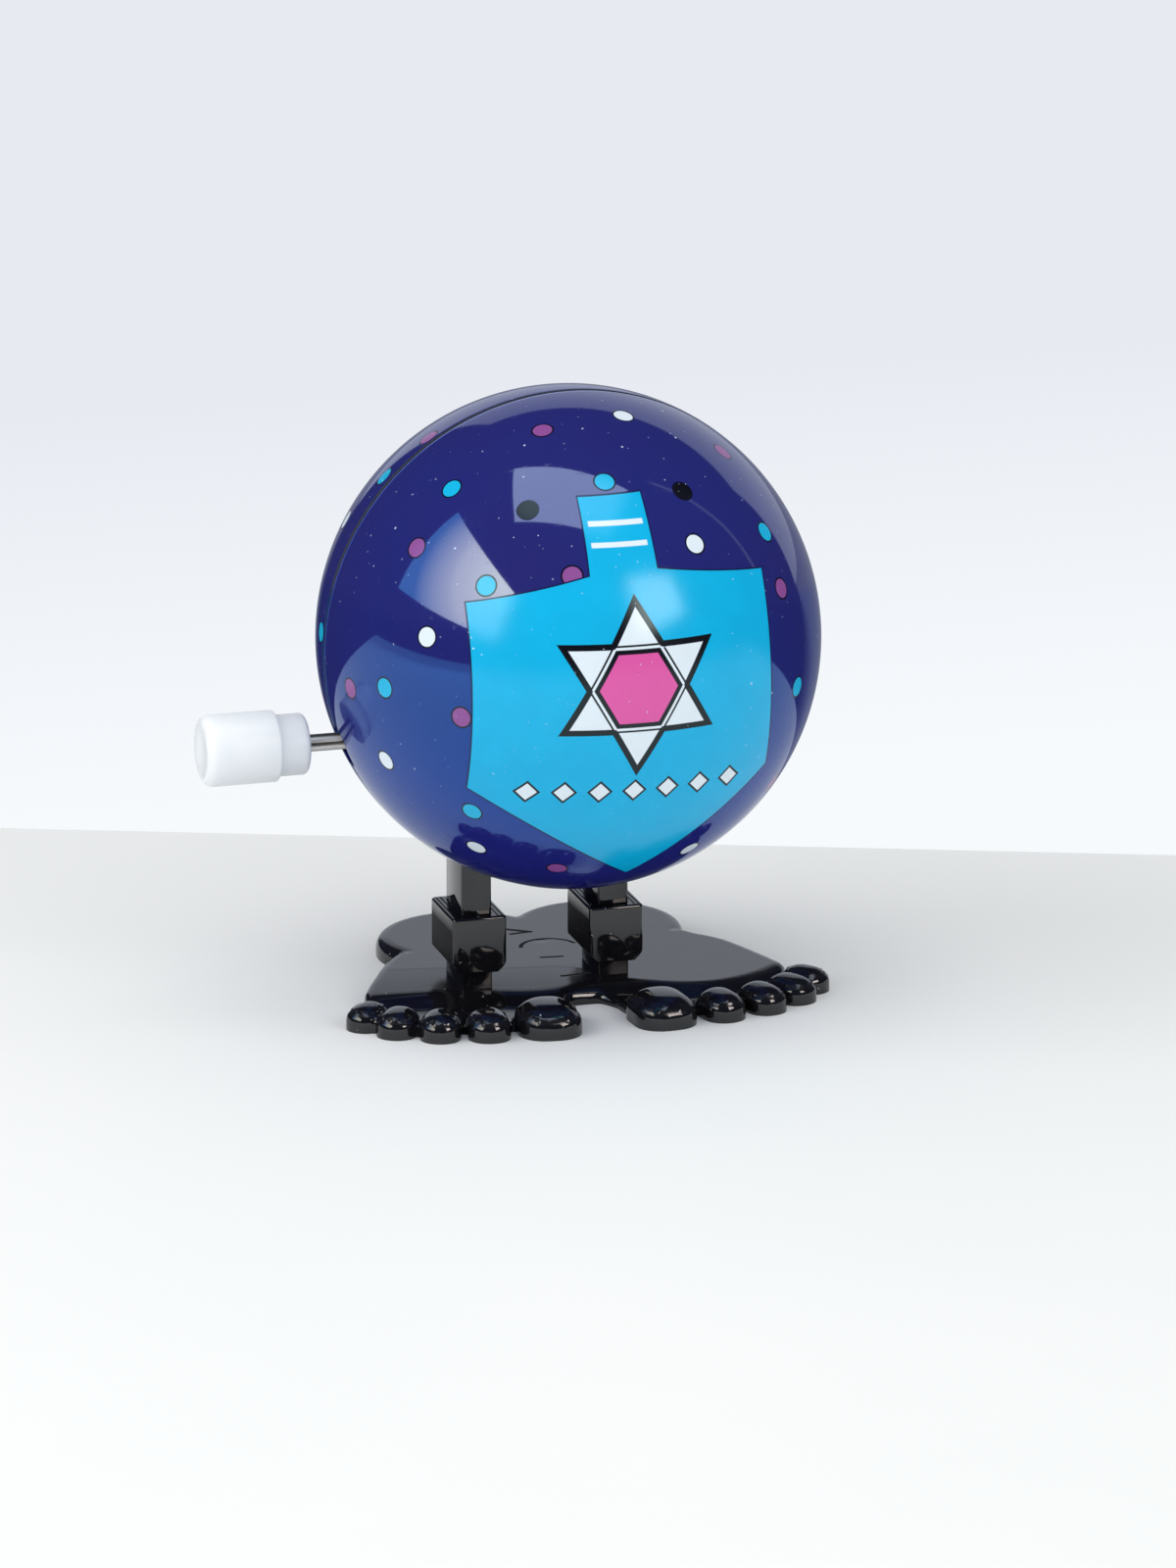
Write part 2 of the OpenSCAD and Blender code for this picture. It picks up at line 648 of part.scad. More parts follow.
// One half of the plate's outline, on the side of +X
module half_plate() {
    translate([heel_x, heel_y]) circle(heel_r);
    polygon(concat(
        [[0, heel_y + arch_shares.y * heel_r], [heel_x, heel_y],
         [waist_x - arch_shares.x * heel_r, waist_y + arch_shares.y * heel_r]],
        [for (s = edge_shares)
            [waist_x + s.x * (fore_x - waist_x), waist_y - s.y * (waist_y + fore_y)]],
        [for (i = [4:-1:0]) toe_root(i)],
        [[notch_half, toe_root(0).y], [notch_half, -notch_y - notch_round],
         [notch_half - notch_round, -notch_y], [0, -notch_y]]));
}

// Length, width and height of a toe
function toe_size(i) =
    toe_size_shares[i] * (i == 0 ? [big_toe_len, big_toe_w, big_toe_h] : [toe_len, toe_w, toe_h]);
// The direction in which a toe points
function toe_dir(i) = [sin(toe_turns[i]), -cos(toe_turns[i])];
// The tip, the middle and the root of a toe
function toe_tip(i) = [toe_tip_shares[i].x * toe_span, -toe_tip_shares[i].y * toe_reach];
function toe_mid(i) = toe_tip(i) - toe_size(i).x / 2 * toe_dir(i);
function toe_root(i) = toe_tip(i) - toe_root_share * toe_size(i).x * toe_dir(i);

// A toe is turned about its long axis, and its underside is cut flat
module toe(i) {
    size = toe_size(i);
    translate([toe_mid(i).x, toe_mid(i).y, size.z - size.y / 2])
        rotate([90, 0, toe_turns[i]]) rotate_extrude()
            polygon([for (k = [0:toe_steps]) let (a = 180 * k / toe_steps)
                [size.y / 2 * sin(a), -size.x / 2 * cos(a)]]);
}

module socket(x) difference() {
    union() {
        translate([x, leg_y + socket_d / 2, 0]) rotate([90, 0, 0]) linear_extrude(socket_d)
            polygon([
                [-socket_w / 2, socket_top],
                [-socket_w / 2, socket_base + socket_chamfer],
                [-socket_w / 2 + socket_chamfer, socket_base],
                [socket_w / 2 - socket_chamfer, socket_base],
                [socket_w / 2, socket_base + socket_chamfer],
                [socket_w / 2, socket_top]]);
        post_box(x, leg_y, leg_w, leg_d, plate_t / 2, socket_base + socket_chamfer);
    }
    post_box(x, leg_y, leg_w + 2 * press_fit, leg_d + 2 * press_fit, pocket_floor, socket_top + over);
}

module foot_plate() color("#141416") {
    translate([plate_x, 0, 0]) {
        linear_extrude(plate_t) {
            half_plate();
            mirror([1, 0]) half_plate();
        }
        difference() {
            for (side = [0, 1], i = [0:4]) mirror([side, 0, 0]) toe(i);
            translate([0, 0, -toe_span]) cube([4 * toe_span, 4 * toe_span, 2 * toe_span], center = true);
        }
    }
    for (side = [-1, 1]) socket(leg_mid_x + side * leg_spacing / 2);
}

shell_front();
shell_rear();
winding_knob();
winding_stem();
great_wheel();
mainspring();
gearbox_case();
gearbox_cover();
idler_wheel();
idler_pin();
crank_wheel();
crank_axle();
crank_left();
crank_right();
escape_wheel();
escape_pin();
pallet();
pallet_pin();
leg_left();
leg_right();
foot_plate();
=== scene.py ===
# %% [markdown]
# # A wind-up hopping ball
# The toy is a glossy two-shell ball on one foot moulding. A milky knob on a rolled steel stem winds the
# clockwork inside it, and two legs on the motor's cranks make the toy hop.
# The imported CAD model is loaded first. It fixes every size and place, so each piece made here takes its
# place from it, and the hidden clockwork keeps its CAD meshes.

# %% Load the frame
import bpy
import bmesh
import math
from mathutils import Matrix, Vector


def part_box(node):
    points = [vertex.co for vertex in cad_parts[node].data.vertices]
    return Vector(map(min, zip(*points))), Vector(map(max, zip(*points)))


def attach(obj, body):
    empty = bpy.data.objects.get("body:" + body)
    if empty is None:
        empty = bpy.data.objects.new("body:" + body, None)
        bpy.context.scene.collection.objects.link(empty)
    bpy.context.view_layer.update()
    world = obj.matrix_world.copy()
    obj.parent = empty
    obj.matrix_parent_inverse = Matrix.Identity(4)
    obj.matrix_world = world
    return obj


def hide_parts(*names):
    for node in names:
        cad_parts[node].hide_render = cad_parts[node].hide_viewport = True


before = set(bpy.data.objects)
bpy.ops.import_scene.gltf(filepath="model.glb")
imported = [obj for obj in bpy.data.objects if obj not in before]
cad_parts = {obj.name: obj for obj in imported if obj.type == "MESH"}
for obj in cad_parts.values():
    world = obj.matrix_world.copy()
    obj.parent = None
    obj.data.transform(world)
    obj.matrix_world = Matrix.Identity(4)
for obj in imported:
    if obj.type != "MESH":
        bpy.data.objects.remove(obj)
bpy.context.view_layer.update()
MM = 0.001

# %% [markdown]
# ## Small helpers for modelling
# Operators act on what is selected, so these helpers select one thing at a time. A finished piece keeps its
# place in its mesh, with its object at the origin, because that is how the frame carries pieces.

# %% Helpers for modelling
def mm(x, y, z):
    return Vector((x, y, z)) * MM


def only(*objects):
    """Selects these objects and nothing else; the first one is active."""
    if bpy.context.object and bpy.context.object.mode != "OBJECT":
        bpy.ops.object.mode_set(mode="OBJECT")
    bpy.ops.object.select_all(action="DESELECT")
    for o in objects:
        o.select_set(True)
    bpy.context.view_layer.objects.active = objects[0]


def added(name):
    """Names the object that an operator has just added and moves its place into its mesh."""
    o = bpy.context.object
    o.name = o.data.name = name
    only(o)
    bpy.ops.object.transform_apply(location=True, rotation=True, scale=True)
    return o


def edit(o):
    only(o)
    bpy.ops.object.mode_set(mode="EDIT")


def pick(o, kind, test):
    """In edit mode: selects vertices, edges (both ends and the middle) or faces that pass the test."""
    bpy.ops.mesh.select_mode(type=kind)
    bpy.ops.mesh.select_all(action="DESELECT")
    bm = bmesh.from_edit_mesh(o.data)
    if kind == "VERT":
        chosen = [v for v in bm.verts if test(v.co / MM)]
    elif kind == "EDGE":
        chosen = [e for e in bm.edges if all(test(p / MM) for p in (
            e.verts[0].co, e.verts[1].co, (e.verts[0].co + e.verts[1].co) / 2))]
    else:
        chosen = [f for f in bm.faces if test(f.calc_center_median() / MM)]
    for item in chosen:
        item.select_set(True)
    bm.select_flush_mode()
    bmesh.update_edit_mesh(o.data)


def modify(o, kind, **settings):
    """Adds a modifier with these settings and applies it."""
    only(o)
    modifier = o.modifiers.new(kind.title(), kind)
    for key, value in settings.items():
        setattr(modifier, key, value)
    bpy.ops.object.modifier_apply(modifier=modifier.name)


def combine(o, tool, operation="DIFFERENCE", keep=False):
    """A Boolean with a tool, which is then thrown away."""
    modify(o, "BOOLEAN", object=tool, operation=operation, solver="EXACT")
    if not keep:
        bpy.data.objects.remove(tool)


def joined(first, *others):
    only(first, *others)
    bpy.ops.object.join()
    return first


def finished(o, body, *nodes, slot=None, angle=30):
    """Shades a piece smooth up to an angle, ties it to its body and hides the CAD nodes that it stands for.
    """
    only(o)
    bpy.ops.object.shade_smooth_by_angle(angle=math.radians(angle))
    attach(o, body)
    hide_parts(*nodes)
    print(o.name, "has", len(o.data.polygons), "faces and stands for", nodes)


def block(name, low, high):
    """A box between two corners in mm: a start for a piece or a cutting tool."""
    low, high = Vector(low), Vector(high)
    bpy.ops.mesh.primitive_cube_add(size=1, location=(low + high) / 2 * MM, scale=(high - low) * MM)
    return added(name)


def round_bar(name, start, end, radius, vertices=48):
    """A cylinder between two points in mm."""
    start, end = Vector(start), Vector(end)
    turn = (end - start).to_track_quat("Z", "Y").to_euler()
    bpy.ops.mesh.primitive_cylinder_add(
        vertices=vertices, radius=radius * MM, depth=(end - start).length * MM,
        location=(start + end) / 2 * MM, rotation=turn)
    return added(name)


def turned(name, profile, centre, axis, steps):
    """A closed profile of (along the axis, radius) points in mm, spun about an axis through the centre."""
    along = Vector(axis)
    out = Vector((0, 0, 1))
    bpy.ops.mesh.primitive_circle_add(vertices=len(profile), radius=MM)
    o = added(name)
    for vertex, (a, r) in zip(o.data.vertices, profile):
        vertex.co = (Vector(centre) + along * a + out * r) * MM
    edit(o)
    bpy.ops.mesh.select_all(action="SELECT")
    bpy.ops.mesh.spin(steps=steps, angle=2 * math.pi, center=Vector(centre) * MM, axis=along)
    bpy.ops.mesh.select_all(action="SELECT")
    bpy.ops.mesh.remove_doubles(threshold=0.002 * MM)
    bpy.ops.mesh.dissolve_degenerate(threshold=0.001 * MM)
    bpy.ops.mesh.normals_make_consistent(inside=False)
    bpy.ops.object.mode_set(mode="OBJECT")
    return o


# %% [markdown]
# ## Places from the frame
# The ball's centre and radius come from the boxes of its two shells, the stem, knob, legs and plate from
# their own, and the sockets from the legs'. Nothing has to be fitted.

# %% Places
def box_mm(node):
    return [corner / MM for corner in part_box(node)]


def direction(azimuth, elevation):
    """A unit vector from two angles in degrees: from the front towards the right, and upwards."""
    a, e = math.radians(azimuth), math.radians(elevation)
    return math.sin(a) * math.cos(e), -math.cos(a) * math.cos(e), math.sin(e)


ball_r = box_mm("shell_rear")[1].y
ball_c = Vector((0, 0, box_mm("shell_front")[1].z - ball_r))
stem_low, stem_high = box_mm("winding_stem")
stem_z = (stem_low.z + stem_high.z) / 2
stem_r = (stem_high.z - stem_low.z) / 2
knob_low, knob_high = box_mm("winding_knob")
leg_boxes = {side: box_mm("leg_" + side) for side in ("left", "right")}
leg_x = {side: (b[0].x + b[1].x) / 2 for side, b in leg_boxes.items()}
leg_y = (leg_boxes["left"][0].y + leg_boxes["left"][1].y) / 2
leg_mid_x = (leg_x["left"] + leg_x["right"]) / 2
leg_w = leg_boxes["left"][1].x - leg_boxes["left"][0].x
leg_d = leg_boxes["left"][1].y - leg_boxes["left"][0].y
feet_low, feet_high = box_mm("foot_plate")
plate_x = (feet_low.x + feet_high.x) / 2
# How far the crank pins stand from the crank's axis
throw = 1.2
print("ball", round(ball_r, 2), "mm at", [round(v, 2) for v in ball_c], "stem at z", round(stem_z, 2))

# %% [markdown]
# ## The camera
# A long lens from a little above and from the knob's side gives the product view. The toy stands on the
# frame's origin, and the aim is a little right of and above it, so that no lens shift is needed.

# %% Camera
camera_distance, lens_mm = 0.9, 207.7
aim_right, aim_up = 1.95, 6.43
azimuth, elevation = -16, 16.5
back = Vector(direction(azimuth, elevation))
side_way = Vector((math.cos(math.radians(azimuth)), math.sin(math.radians(azimuth)), 0))
up_way = back.cross(side_way)
target = mm(0, 0, 15)
bpy.ops.object.camera_add(location=target + back * camera_distance)
camera = bpy.context.object
camera.name = "camera"
aim = target + (side_way * aim_right + up_way * aim_up) * MM
camera.rotation_mode = "QUATERNION"
camera.rotation_quaternion = (camera.location - aim).to_track_quat("Z", "Y")
camera.data.lens = lens_mm
camera.data.clip_start, camera.data.clip_end = 0.01, 20
bpy.context.scene.camera = camera
print("camera at", [round(v, 3) for v in camera.location])

# %% [markdown]
# ## Shader maths as Python
# A printed ball is mostly maths on coordinates. A small class wraps a node's output, so that plain Python
# expressions add Math nodes, and one method makes any other node with its settings and sockets.

# %% Helpers for materials
class Value:
    """An output of a node: a number, vector, colour or shader that can vary over a surface."""
    def __init__(self, finish, socket):
        self.finish, self.socket = finish, socket

    def maths(self, operation, *inputs, clamp=False):
        return self.finish.add("Math", {"operation": operation, "use_clamp": clamp},
                               dict(enumerate(inputs))).value()

    def __add__(self, other):
        return self.maths("ADD", self, other)

    __radd__ = __add__

    def __sub__(self, other):
        return self.maths("SUBTRACT", self, other)

    def __rsub__(self, other):
        return self.maths("SUBTRACT", other, self)

    def __mul__(self, other):
        return self.maths("MULTIPLY", self, other)

    __rmul__ = __mul__

    def __truediv__(self, other):
        return self.maths("DIVIDE", self, other)

    def __pow__(self, other):
        return self.maths("POWER", self, other)

    def __abs__(self):
        return self.maths("ABSOLUTE", self)

    def least(self, other):
        return self.maths("MINIMUM", self, other)

    def most(self, other):
        return self.maths("MAXIMUM", self, other)

    def over(self, edge, soft):
        """1 where the number is over the edge, 0 where it is under, with a soft step between."""
        return self.maths("ADD", (self - edge) / soft, 0.5, clamp=True)


class Made:
    """A node that has just been made, from which its outputs are taken."""
    def __init__(self, finish, node):
        self.finish, self.node = finish, node

    def value(self, output=0):
        return Value(self.finish, self.node.outputs[output])


class Finish:
    """A node tree under construction: a material's or the world's."""
    def __init__(self, owner):
        self.owner = owner
        owner.use_nodes = True
        self.tree = owner.node_tree
        self.tree.nodes.clear()

    def add(self, kind, settings=None, sockets=None):
        """Makes a node of a type, sets its settings, then sets or links its sockets."""
        node = self.tree.nodes.new("ShaderNode" + kind)
        for key, value in (settings or {}).items():
            setattr(node, key, value)
        for key, value in (sockets or {}).items():
            if isinstance(value, Value):
                self.tree.links.new(value.socket, node.inputs[key])
            else:
                node.inputs[key].default_value = value
        return Made(self, node)

    def place(self):
        """Object coordinates in mm: the vector and its three numbers."""
        at = self.add("TexCoord").value("Object")
        at = self.add("VectorMath", {"operation": "SCALE"}, {0: at, "Scale": 1 / MM}).value()
        split = self.add("SeparateXYZ", None, {0: at})
        return at, split.value(0), split.value(1), split.value(2)

    def stretched(self, at, scale):
        """Coordinates scaled by three numbers, for a grain that runs one way."""
        return self.add("Mapping", {"vector_type": "POINT"}, {"Vector": at, "Scale": scale}).value()

    def noise(self, at, scale, detail=2.0, rough=0.5):
        return self.add("TexNoise", None, {"Vector": at, "Scale": scale, "Detail": detail,
                                           "Roughness": rough}).value("Fac")

    def specks(self, at, scale, patch_scale, size, share):
        """Round specks, one to a Voronoi cell, where a noise is over the share."""
        cells = self.add("TexVoronoi", {"feature": "F1"}, {"Vector": at, "Scale": scale, "Randomness": 1.0})
        patches = self.noise(at, patch_scale)
        return (1 - cells.value("Distance").over(size, size / 2)) * patches.over(share, 0.04)

    def mix(self, mask, colour_a, colour_b):
        """colour_b where the mask is 1, colour_a where it is 0."""
        return self.add("Mix", {"data_type": "RGBA"}, {0: mask, 6: colour_a, 7: colour_b}).value(2)

    def mix_shaders(self, mask, shader_a, shader_b):
        return self.add("MixShader", None, {0: mask, 1: shader_a, 2: shader_b}).value()

    def bump(self, height, strength, distance):
        return self.add("Bump", None, {"Height": height, "Strength": strength,
                                       "Distance": distance * MM}).value()

    def principled(self, **sockets):
        """The Principled shader. Underscores stand for spaces in the socket names."""
        return self.add("BsdfPrincipled", None, {k.replace("_", " "): v for k, v in sockets.items()}).value()

    def glow(self, colour):
        return self.add("Emission", None, {"Color": colour, "Strength": 1.0}).value()

    def mirror_ray(self):
        """1 for rays from mirrors and from clear things."""
        rays = self.add("LightPath")
        return rays.value("Is Glossy Ray").most(rays.value("Is Transmission Ray"))

    def camera_ray(self):
        return self.add("LightPath").value("Is Camera Ray")

    def output(self, shader):
        """Ends the tree with this shader and returns the material."""
        self.add("OutputMaterial", None, {0: shader})
        return self.owner

    def surface(self, **sockets):
        return self.output(self.principled(**sockets))


def srgb(r, g, b):
    """A colour as a picture gives it, 0 to 255, made linear."""
    def linear(v):
        v /= 255
        return v / 12.92 if v <= 0.04045 else ((v + 0.055) / 1.055) ** 2.4
    return linear(r), linear(g), linear(b), 1.0


def finish(name):
    return Finish(bpy.data.materials.new(name))


def dress(o, material):
    """Gives an object one material all over."""
    if not o.material_slots:
        o.data.materials.append(material)
    for s in o.material_slots:
        s.material = material


# %% [markdown]
# ## The printed plastic of the ball
# The shells are moulded in deep blue plastic with a mirror gloss. The pad-printed inks on them are a little
# duller, so lamps show as crisp shapes on the plastic and as soft glows on the ink.
# The dots are drawn as caps round directions from the ball's centre. The dreidel was printed straight from
# the front, so its outline is made of straight cuts in front view. On it are a plain six-pointed star, two
# stripes and a row of diamonds.

# %% Dots of the print
# Directions from the ball's centre: azimuth and elevation in degrees
dots = {
    "white": [(20, 33.5), (-50, 12.5), (-65, -19.5), (-45.5, -43), (28, -47), (28, 72), (-104, 29),
              (129.5, 21), (164.5, -12), (-152.5, 39), (-130.5, -31), (105.5, -25), (176.5, 57)],
    "black": [(24, 46.5), (-28.5, 44), (144.5, -3), (-167.5, 70), (-109.5, -22)],
    "cyan": [(-3, 51.5), (-36.5, 25.5), (-57.5, 47), (-61.5, -1), (-41.5, -29.5), (48, -5), (48, 31.5),
             (-96.5, 43), (-93, 4.5), (110.5, 6), (149.5, 43), (-172.5, 9), (-139.5, 13), (139.5, -37),
             (-114.5, -48), (92.5, 51), (78.5, -34)],
    "pink": [(-15, 28.5), (-59.5, 31.5), (-74.5, -4), (-40.5, -4.5), (-20, -50), (53.5, -31), (45, 18.5),
             (-31.5, 68), (-96.6, 56.3), (61.4, 51.7), (77.5, 17), (122.5, 37), (159.5, 14), (-162.5, -31),
             (-122.5, -7), (-132.5, 60), (169.5, -52), (97.5, -49), (122.5, -13)],
}
ink = {"white": srgb(218, 229, 238), "black": srgb(12, 11, 20), "cyan": srgb(12, 172, 216),
       "pink": srgb(136, 74, 142), "rose": srgb(214, 84, 160)}
ring_colour = srgb(10, 9, 30)
dot_r, dot_ring = 0.95, 0.17
print(sum(len(d) for d in dots.values()), "dots")

# %% The ball's material
def cut_side(x, z, p, q):
    """Distance in mm from the line p to q in front view, negative on the left of the way from p to q."""
    (px, pz), (qx, qz) = p, q
    length = math.hypot(qx - px, qz - pz)
    nx, nz = (qz - pz) / length, -(qx - px) / length
    return x * nx + z * nz - (px * nx + pz * nz)


def polygon(x, z, corners):
    """Distance outside a convex outline, whose corners run anticlockwise in front view."""
    sides = [cut_side(x, z, p, q) for p, q in zip(corners, corners[1:] + corners[:1])]
    outside = sides[0]
    for s in sides[1:]:
        outside = outside.most(s)
    return outside


# Corners (x, z) in mm from the ball's centre, anticlockwise in front view
handle_outline = [(-4.05, 11), (2.75, 11), (2.45, 18.6), (-3.8, 18.45)]
body_outline = [(1.7, -20.3), (14.9, -9.3), (14.45, 10.35), (-0.6, 12.7), (-15.3, 9.05), (-15.2, -9.5)]
outline_width = 0.14
star_z, star_r, cos_30 = 1.2, 8.4, 0.866
stripes_z, stripes_apart, stripe_half = 15.4, 0.9, 0.22
row_z, row_step, row_half = -9.4, 3.4, 3.5
dot_soft, edge_soft = 0.05, 0.06


def within(distance, reach=0):
    """1 where the distance is under the reach, with the soft edge of a print."""
    return 1 - distance.over(reach, edge_soft)


def with_dots(f, ray, colour):
    """The colour with the dots on it, and where their ink is."""
    inked = None
    for name, places in dots.items():
        nearest = None
        for place in places:
            cosine = f.add("VectorMath", {"operation": "DOT_PRODUCT"}, {0: ray, 1: direction(*place)})
            cosine = cosine.value("Value")
            nearest = cosine if nearest is None else nearest.most(cosine)
        nearest = nearest.least(1)
        away = nearest.maths("ARCCOSINE", nearest) * ball_r
        ring, dot = 1 - away.over(dot_r + dot_ring, dot_soft), 1 - away.over(dot_r, dot_soft)
        colour = f.mix(ring, colour, ring_colour)
        colour = f.mix(dot, colour, ink[name])
        inked = ring if inked is None else inked.most(ring)
    return colour, inked


def with_star(f, x, z, fill, colour):
    """A star of two triangles with dark outlines and a rose heart."""
    side, rise = abs(x), z - star_z
    point_up = (0 - rise).most(side * cos_30 + rise * 0.5) - star_r / 2
    point_down = rise.most(side * cos_30 - rise * 0.5) - star_r / 2
    star, heart = point_up.least(point_down), point_up.most(point_down)
    for shape, reach, paint in ((star, 0.3, "black"), (star, -0.25, "white"), (heart, -0.35, "black"),
                                (heart, -0.8, "rose")):
        colour = f.mix(within(shape, reach) * fill, colour, ink[paint])
    outside_heart = heart.over(-0.1, edge_soft)
    for shape in (point_up, point_down):
        line = within(abs(shape + 0.1), 0.2)
        colour = f.mix(line * within(star) * fill * outside_heart, colour, ink["black"])
    return colour


def with_dreidel(f, at, x, y, z, colour):
    """The colour with the dreidel and its ornaments on it, and where its ink is."""
    front = 1 - y.over(-0.6, dot_soft)
    handle = polygon(x, z, handle_outline)
    dreidel = handle.least(polygon(x, z, body_outline))
    inked, fill = within(dreidel, outline_width) * front, within(dreidel) * front
    blot = f.noise(at, 0.35, 3)
    cyan = f.mix(blot.over(0.5, 0.3), srgb(0, 172, 221), srgb(0, 168, 217))
    colour = f.mix(inked, colour, srgb(14, 20, 70))
    colour = f.mix(fill, colour, cyan)
    colour = with_star(f, x, z, fill, colour)

    stripes = abs(abs(z - stripes_z) - stripes_apart)
    colour = f.mix(within(stripes, stripe_half) * within(handle, -0.5) * fill, colour, ink["white"])

    # The row repeats one diamond, and the shift keeps the repeated number above zero
    shift = 10 * row_step
    diamond = abs(x.maths("PINGPONG", x + shift, row_step / 2)) + abs(z - row_z)
    row = within(abs(x), row_half * row_step) * fill
    for reach, paint in ((1.25, "black"), (0.95, "white")):
        colour = f.mix(within(diamond, reach) * row, colour, ink[paint])
    return colour, inked


def dust_on(f, at, z):
    """Fine dust of three sizes, mostly on the upper half."""
    dust = None
    for scale, size, share in ((0.45, 0.055, 0.52), (0.8, 0.062, 0.57), (1.3, 0.08, 0.6)):
        specks = f.specks(at, scale, scale * 2.3, size, share)
        dust = specks if dust is None else dust.most(specks)
    return dust * z.over(-8, 20)


def printed_plastic():
    f = finish("printed_blue_plastic")
    at, x, y, z = f.place()
    z = z - ball_c.z
    ray = f.add("VectorMath", {"operation": "SUBTRACT"}, {0: at, 1: tuple(ball_c)}).value()
    ray = f.add("VectorMath", {"operation": "NORMALIZE"}, {0: ray}).value()

    depth = f.noise(at, 0.06, 3)
    colour = f.mix(depth.over(0.5, 0.5), srgb(37, 36, 105), srgb(33, 38, 112))
    # Painted reflection: the base turns bluer towards the bottom, where the ball mirrors the table
    colour = f.mix((1 - z.over(-6, 9)) * 0.8, colour, srgb(32, 36, 122))
    colour, dots_inked = with_dots(f, ray, colour)
    colour, dreidel_inked = with_dreidel(f, at, x, y, z, colour)
    inked = dots_inked.most(dreidel_inked)
    dust = dust_on(f, at, z)
    colour = f.mix(dust * 0.8, colour, srgb(204, 216, 240))

    # Painted shade darkens the seam's groove, and a painted highlight lightens the front shell's rim beside
    # it
    shaded_seam = 1 - abs(y + 0.06).over(0.36, 0.08)
    rim_highlight = 1 - abs(y + 0.62).over(0.1, 0.1)
    colour = f.mix(rim_highlight * 0.6, colour, srgb(84, 116, 205))
    colour = f.mix(shaded_seam * 0.95, colour, srgb(5, 5, 20))

    scratch = f.noise(f.stretched(at, (0.4, 2, 1.6)), 1.0, 5).over(0.66, 0.1)
    normal = f.bump(f.noise(at, 0.12, 1) * 0.5 + dust * 0.1 + inked * 0.02, 1.0, 0.04)
    gloss = 0.045 + scratch * 0.1 + dust * 0.3 + shaded_seam * 0.6
    # Where the ball mirrors the table, its plastic shows a deeper and bluer shine
    upper, lower = [f.principled(Base_Color=colour, Roughness=gloss, Normal=normal, IOR=index,
                                 Specular_IOR_Level=1.0, Specular_Tint=tint)
                    for index, tint in ((1.6, (0.75, 0.85, 1.0, 1)), (1.8, (0.1, 0.4, 1.0, 1)))]
    plastic = f.mix_shaders(1 - z.over(6.5, 1.5), upper, lower)
    print_ink = f.principled(Base_Color=colour, Roughness=0.2 + dust * 0.2, Normal=normal, IOR=1.5,
                             Specular_Tint=(0.7, 0.95, 1.0, 1))
    return f.output(f.mix_shaders(inked, plastic, print_ink))


ball_finish = printed_plastic()
print("the ball's material has", len(ball_finish.node_tree.nodes), "nodes")

# %% [markdown]
# ## The two shells
# A ball could start from a UV sphere, but its poles would pinch the reflections. A finely divided cube cast
# to a sphere has none, and one of its edge loops lies just where the shells meet.
# Each shell gets its wall by Solidify, is halved at the seam, has its rim bridged and its outer edge
# bevelled, so that the seam shows as a fine groove. The stem's hole and the leg openings are cut last.

# %% The shells
wall = 1.2
# Width of the bevel at the seam, for the front shell (-1) and the rear one (1)
seam_bevel = {-1: 0.42, 1: 0.3}
cube_cuts = 71
stem_hole_r, slot_drop, slot_back = 1.5, 2.4, 0.6
leg_room, open_top = 0.4, 17.28
post_rises, post_start, post_r = (2.6, -7.4), 13.31, 2.1
post_bore_start, post_bore_end, post_bore_r = 12, 15.33, 0.92
# The lip's profile: along Y from the seam, and from the ball's centre outwards
lip_profile = [(-1.2, 22.9), (-1.2, 24.4), (-0.06, 24.4), (-0.06, 23.69), (1.6, 23.69), (1.6, 22.9)]


def hole_tools():
    """What is cut out of both shells: the stem's hole with the slot below it, and the leg openings."""
    outside, inside = -ball_r - 1, -ball_r / 2
    tool = round_bar("stem_hole", (outside, 0, stem_z), (inside, 0, stem_z), stem_hole_r)
    slot = block("stem_slot", (outside, -stem_hole_r, stem_z - slot_drop), (inside, slot_back, stem_z))
    combine(tool, slot, "UNION")
    reach = leg_d / 2 + throw + leg_room
    for low, high in leg_boxes.values():
        joined(tool, block("leg_hole", (low.x - leg_room, leg_y - reach, ball_c.z - ball_r - 1),
                           (high.x + leg_room, leg_y + reach, open_top)))
    return tool


def half_ball(name, way, tool):
    """The shell on the side of -Y (way -1) or +Y (way 1)."""
    bpy.ops.mesh.primitive_cube_add(size=2 * ball_r * MM)
    o = bpy.context.object
    o.name = o.data.name = name
    edit(o)
    bpy.ops.mesh.select_all(action="SELECT")
    bpy.ops.mesh.subdivide(number_cuts=cube_cuts)
    bpy.ops.object.mode_set(mode="OBJECT")
    modify(o, "CAST", cast_type="SPHERE", factor=1, use_radius_as_size=False, size=ball_r * MM)
    modify(o, "SOLIDIFY", thickness=wall * MM, offset=-1)
    edit(o)
    pick(o, "VERT", lambda p: p.y * way < -0.01)
    bpy.ops.mesh.delete(type="VERT")
    pick(o, "EDGE", lambda p: abs(p.y) < 0.01)
    bpy.ops.mesh.bridge_edge_loops()
    pick(o, "EDGE", lambda p: abs(p.y) < 0.01 and p.length > ball_r - 0.01)
    bpy.ops.mesh.bevel(offset=seam_bevel[way] * MM, segments=2, affect="EDGES")
    bpy.ops.mesh.select_all(action="SELECT")
    bpy.ops.mesh.normals_make_consistent(inside=False)
    bpy.ops.object.mode_set(mode="OBJECT")
    o.location = ball_c * MM
    only(o)
    bpy.ops.object.transform_apply(location=True, rotation=True, scale=True)
    combine(o, tool, keep=True)
    return o


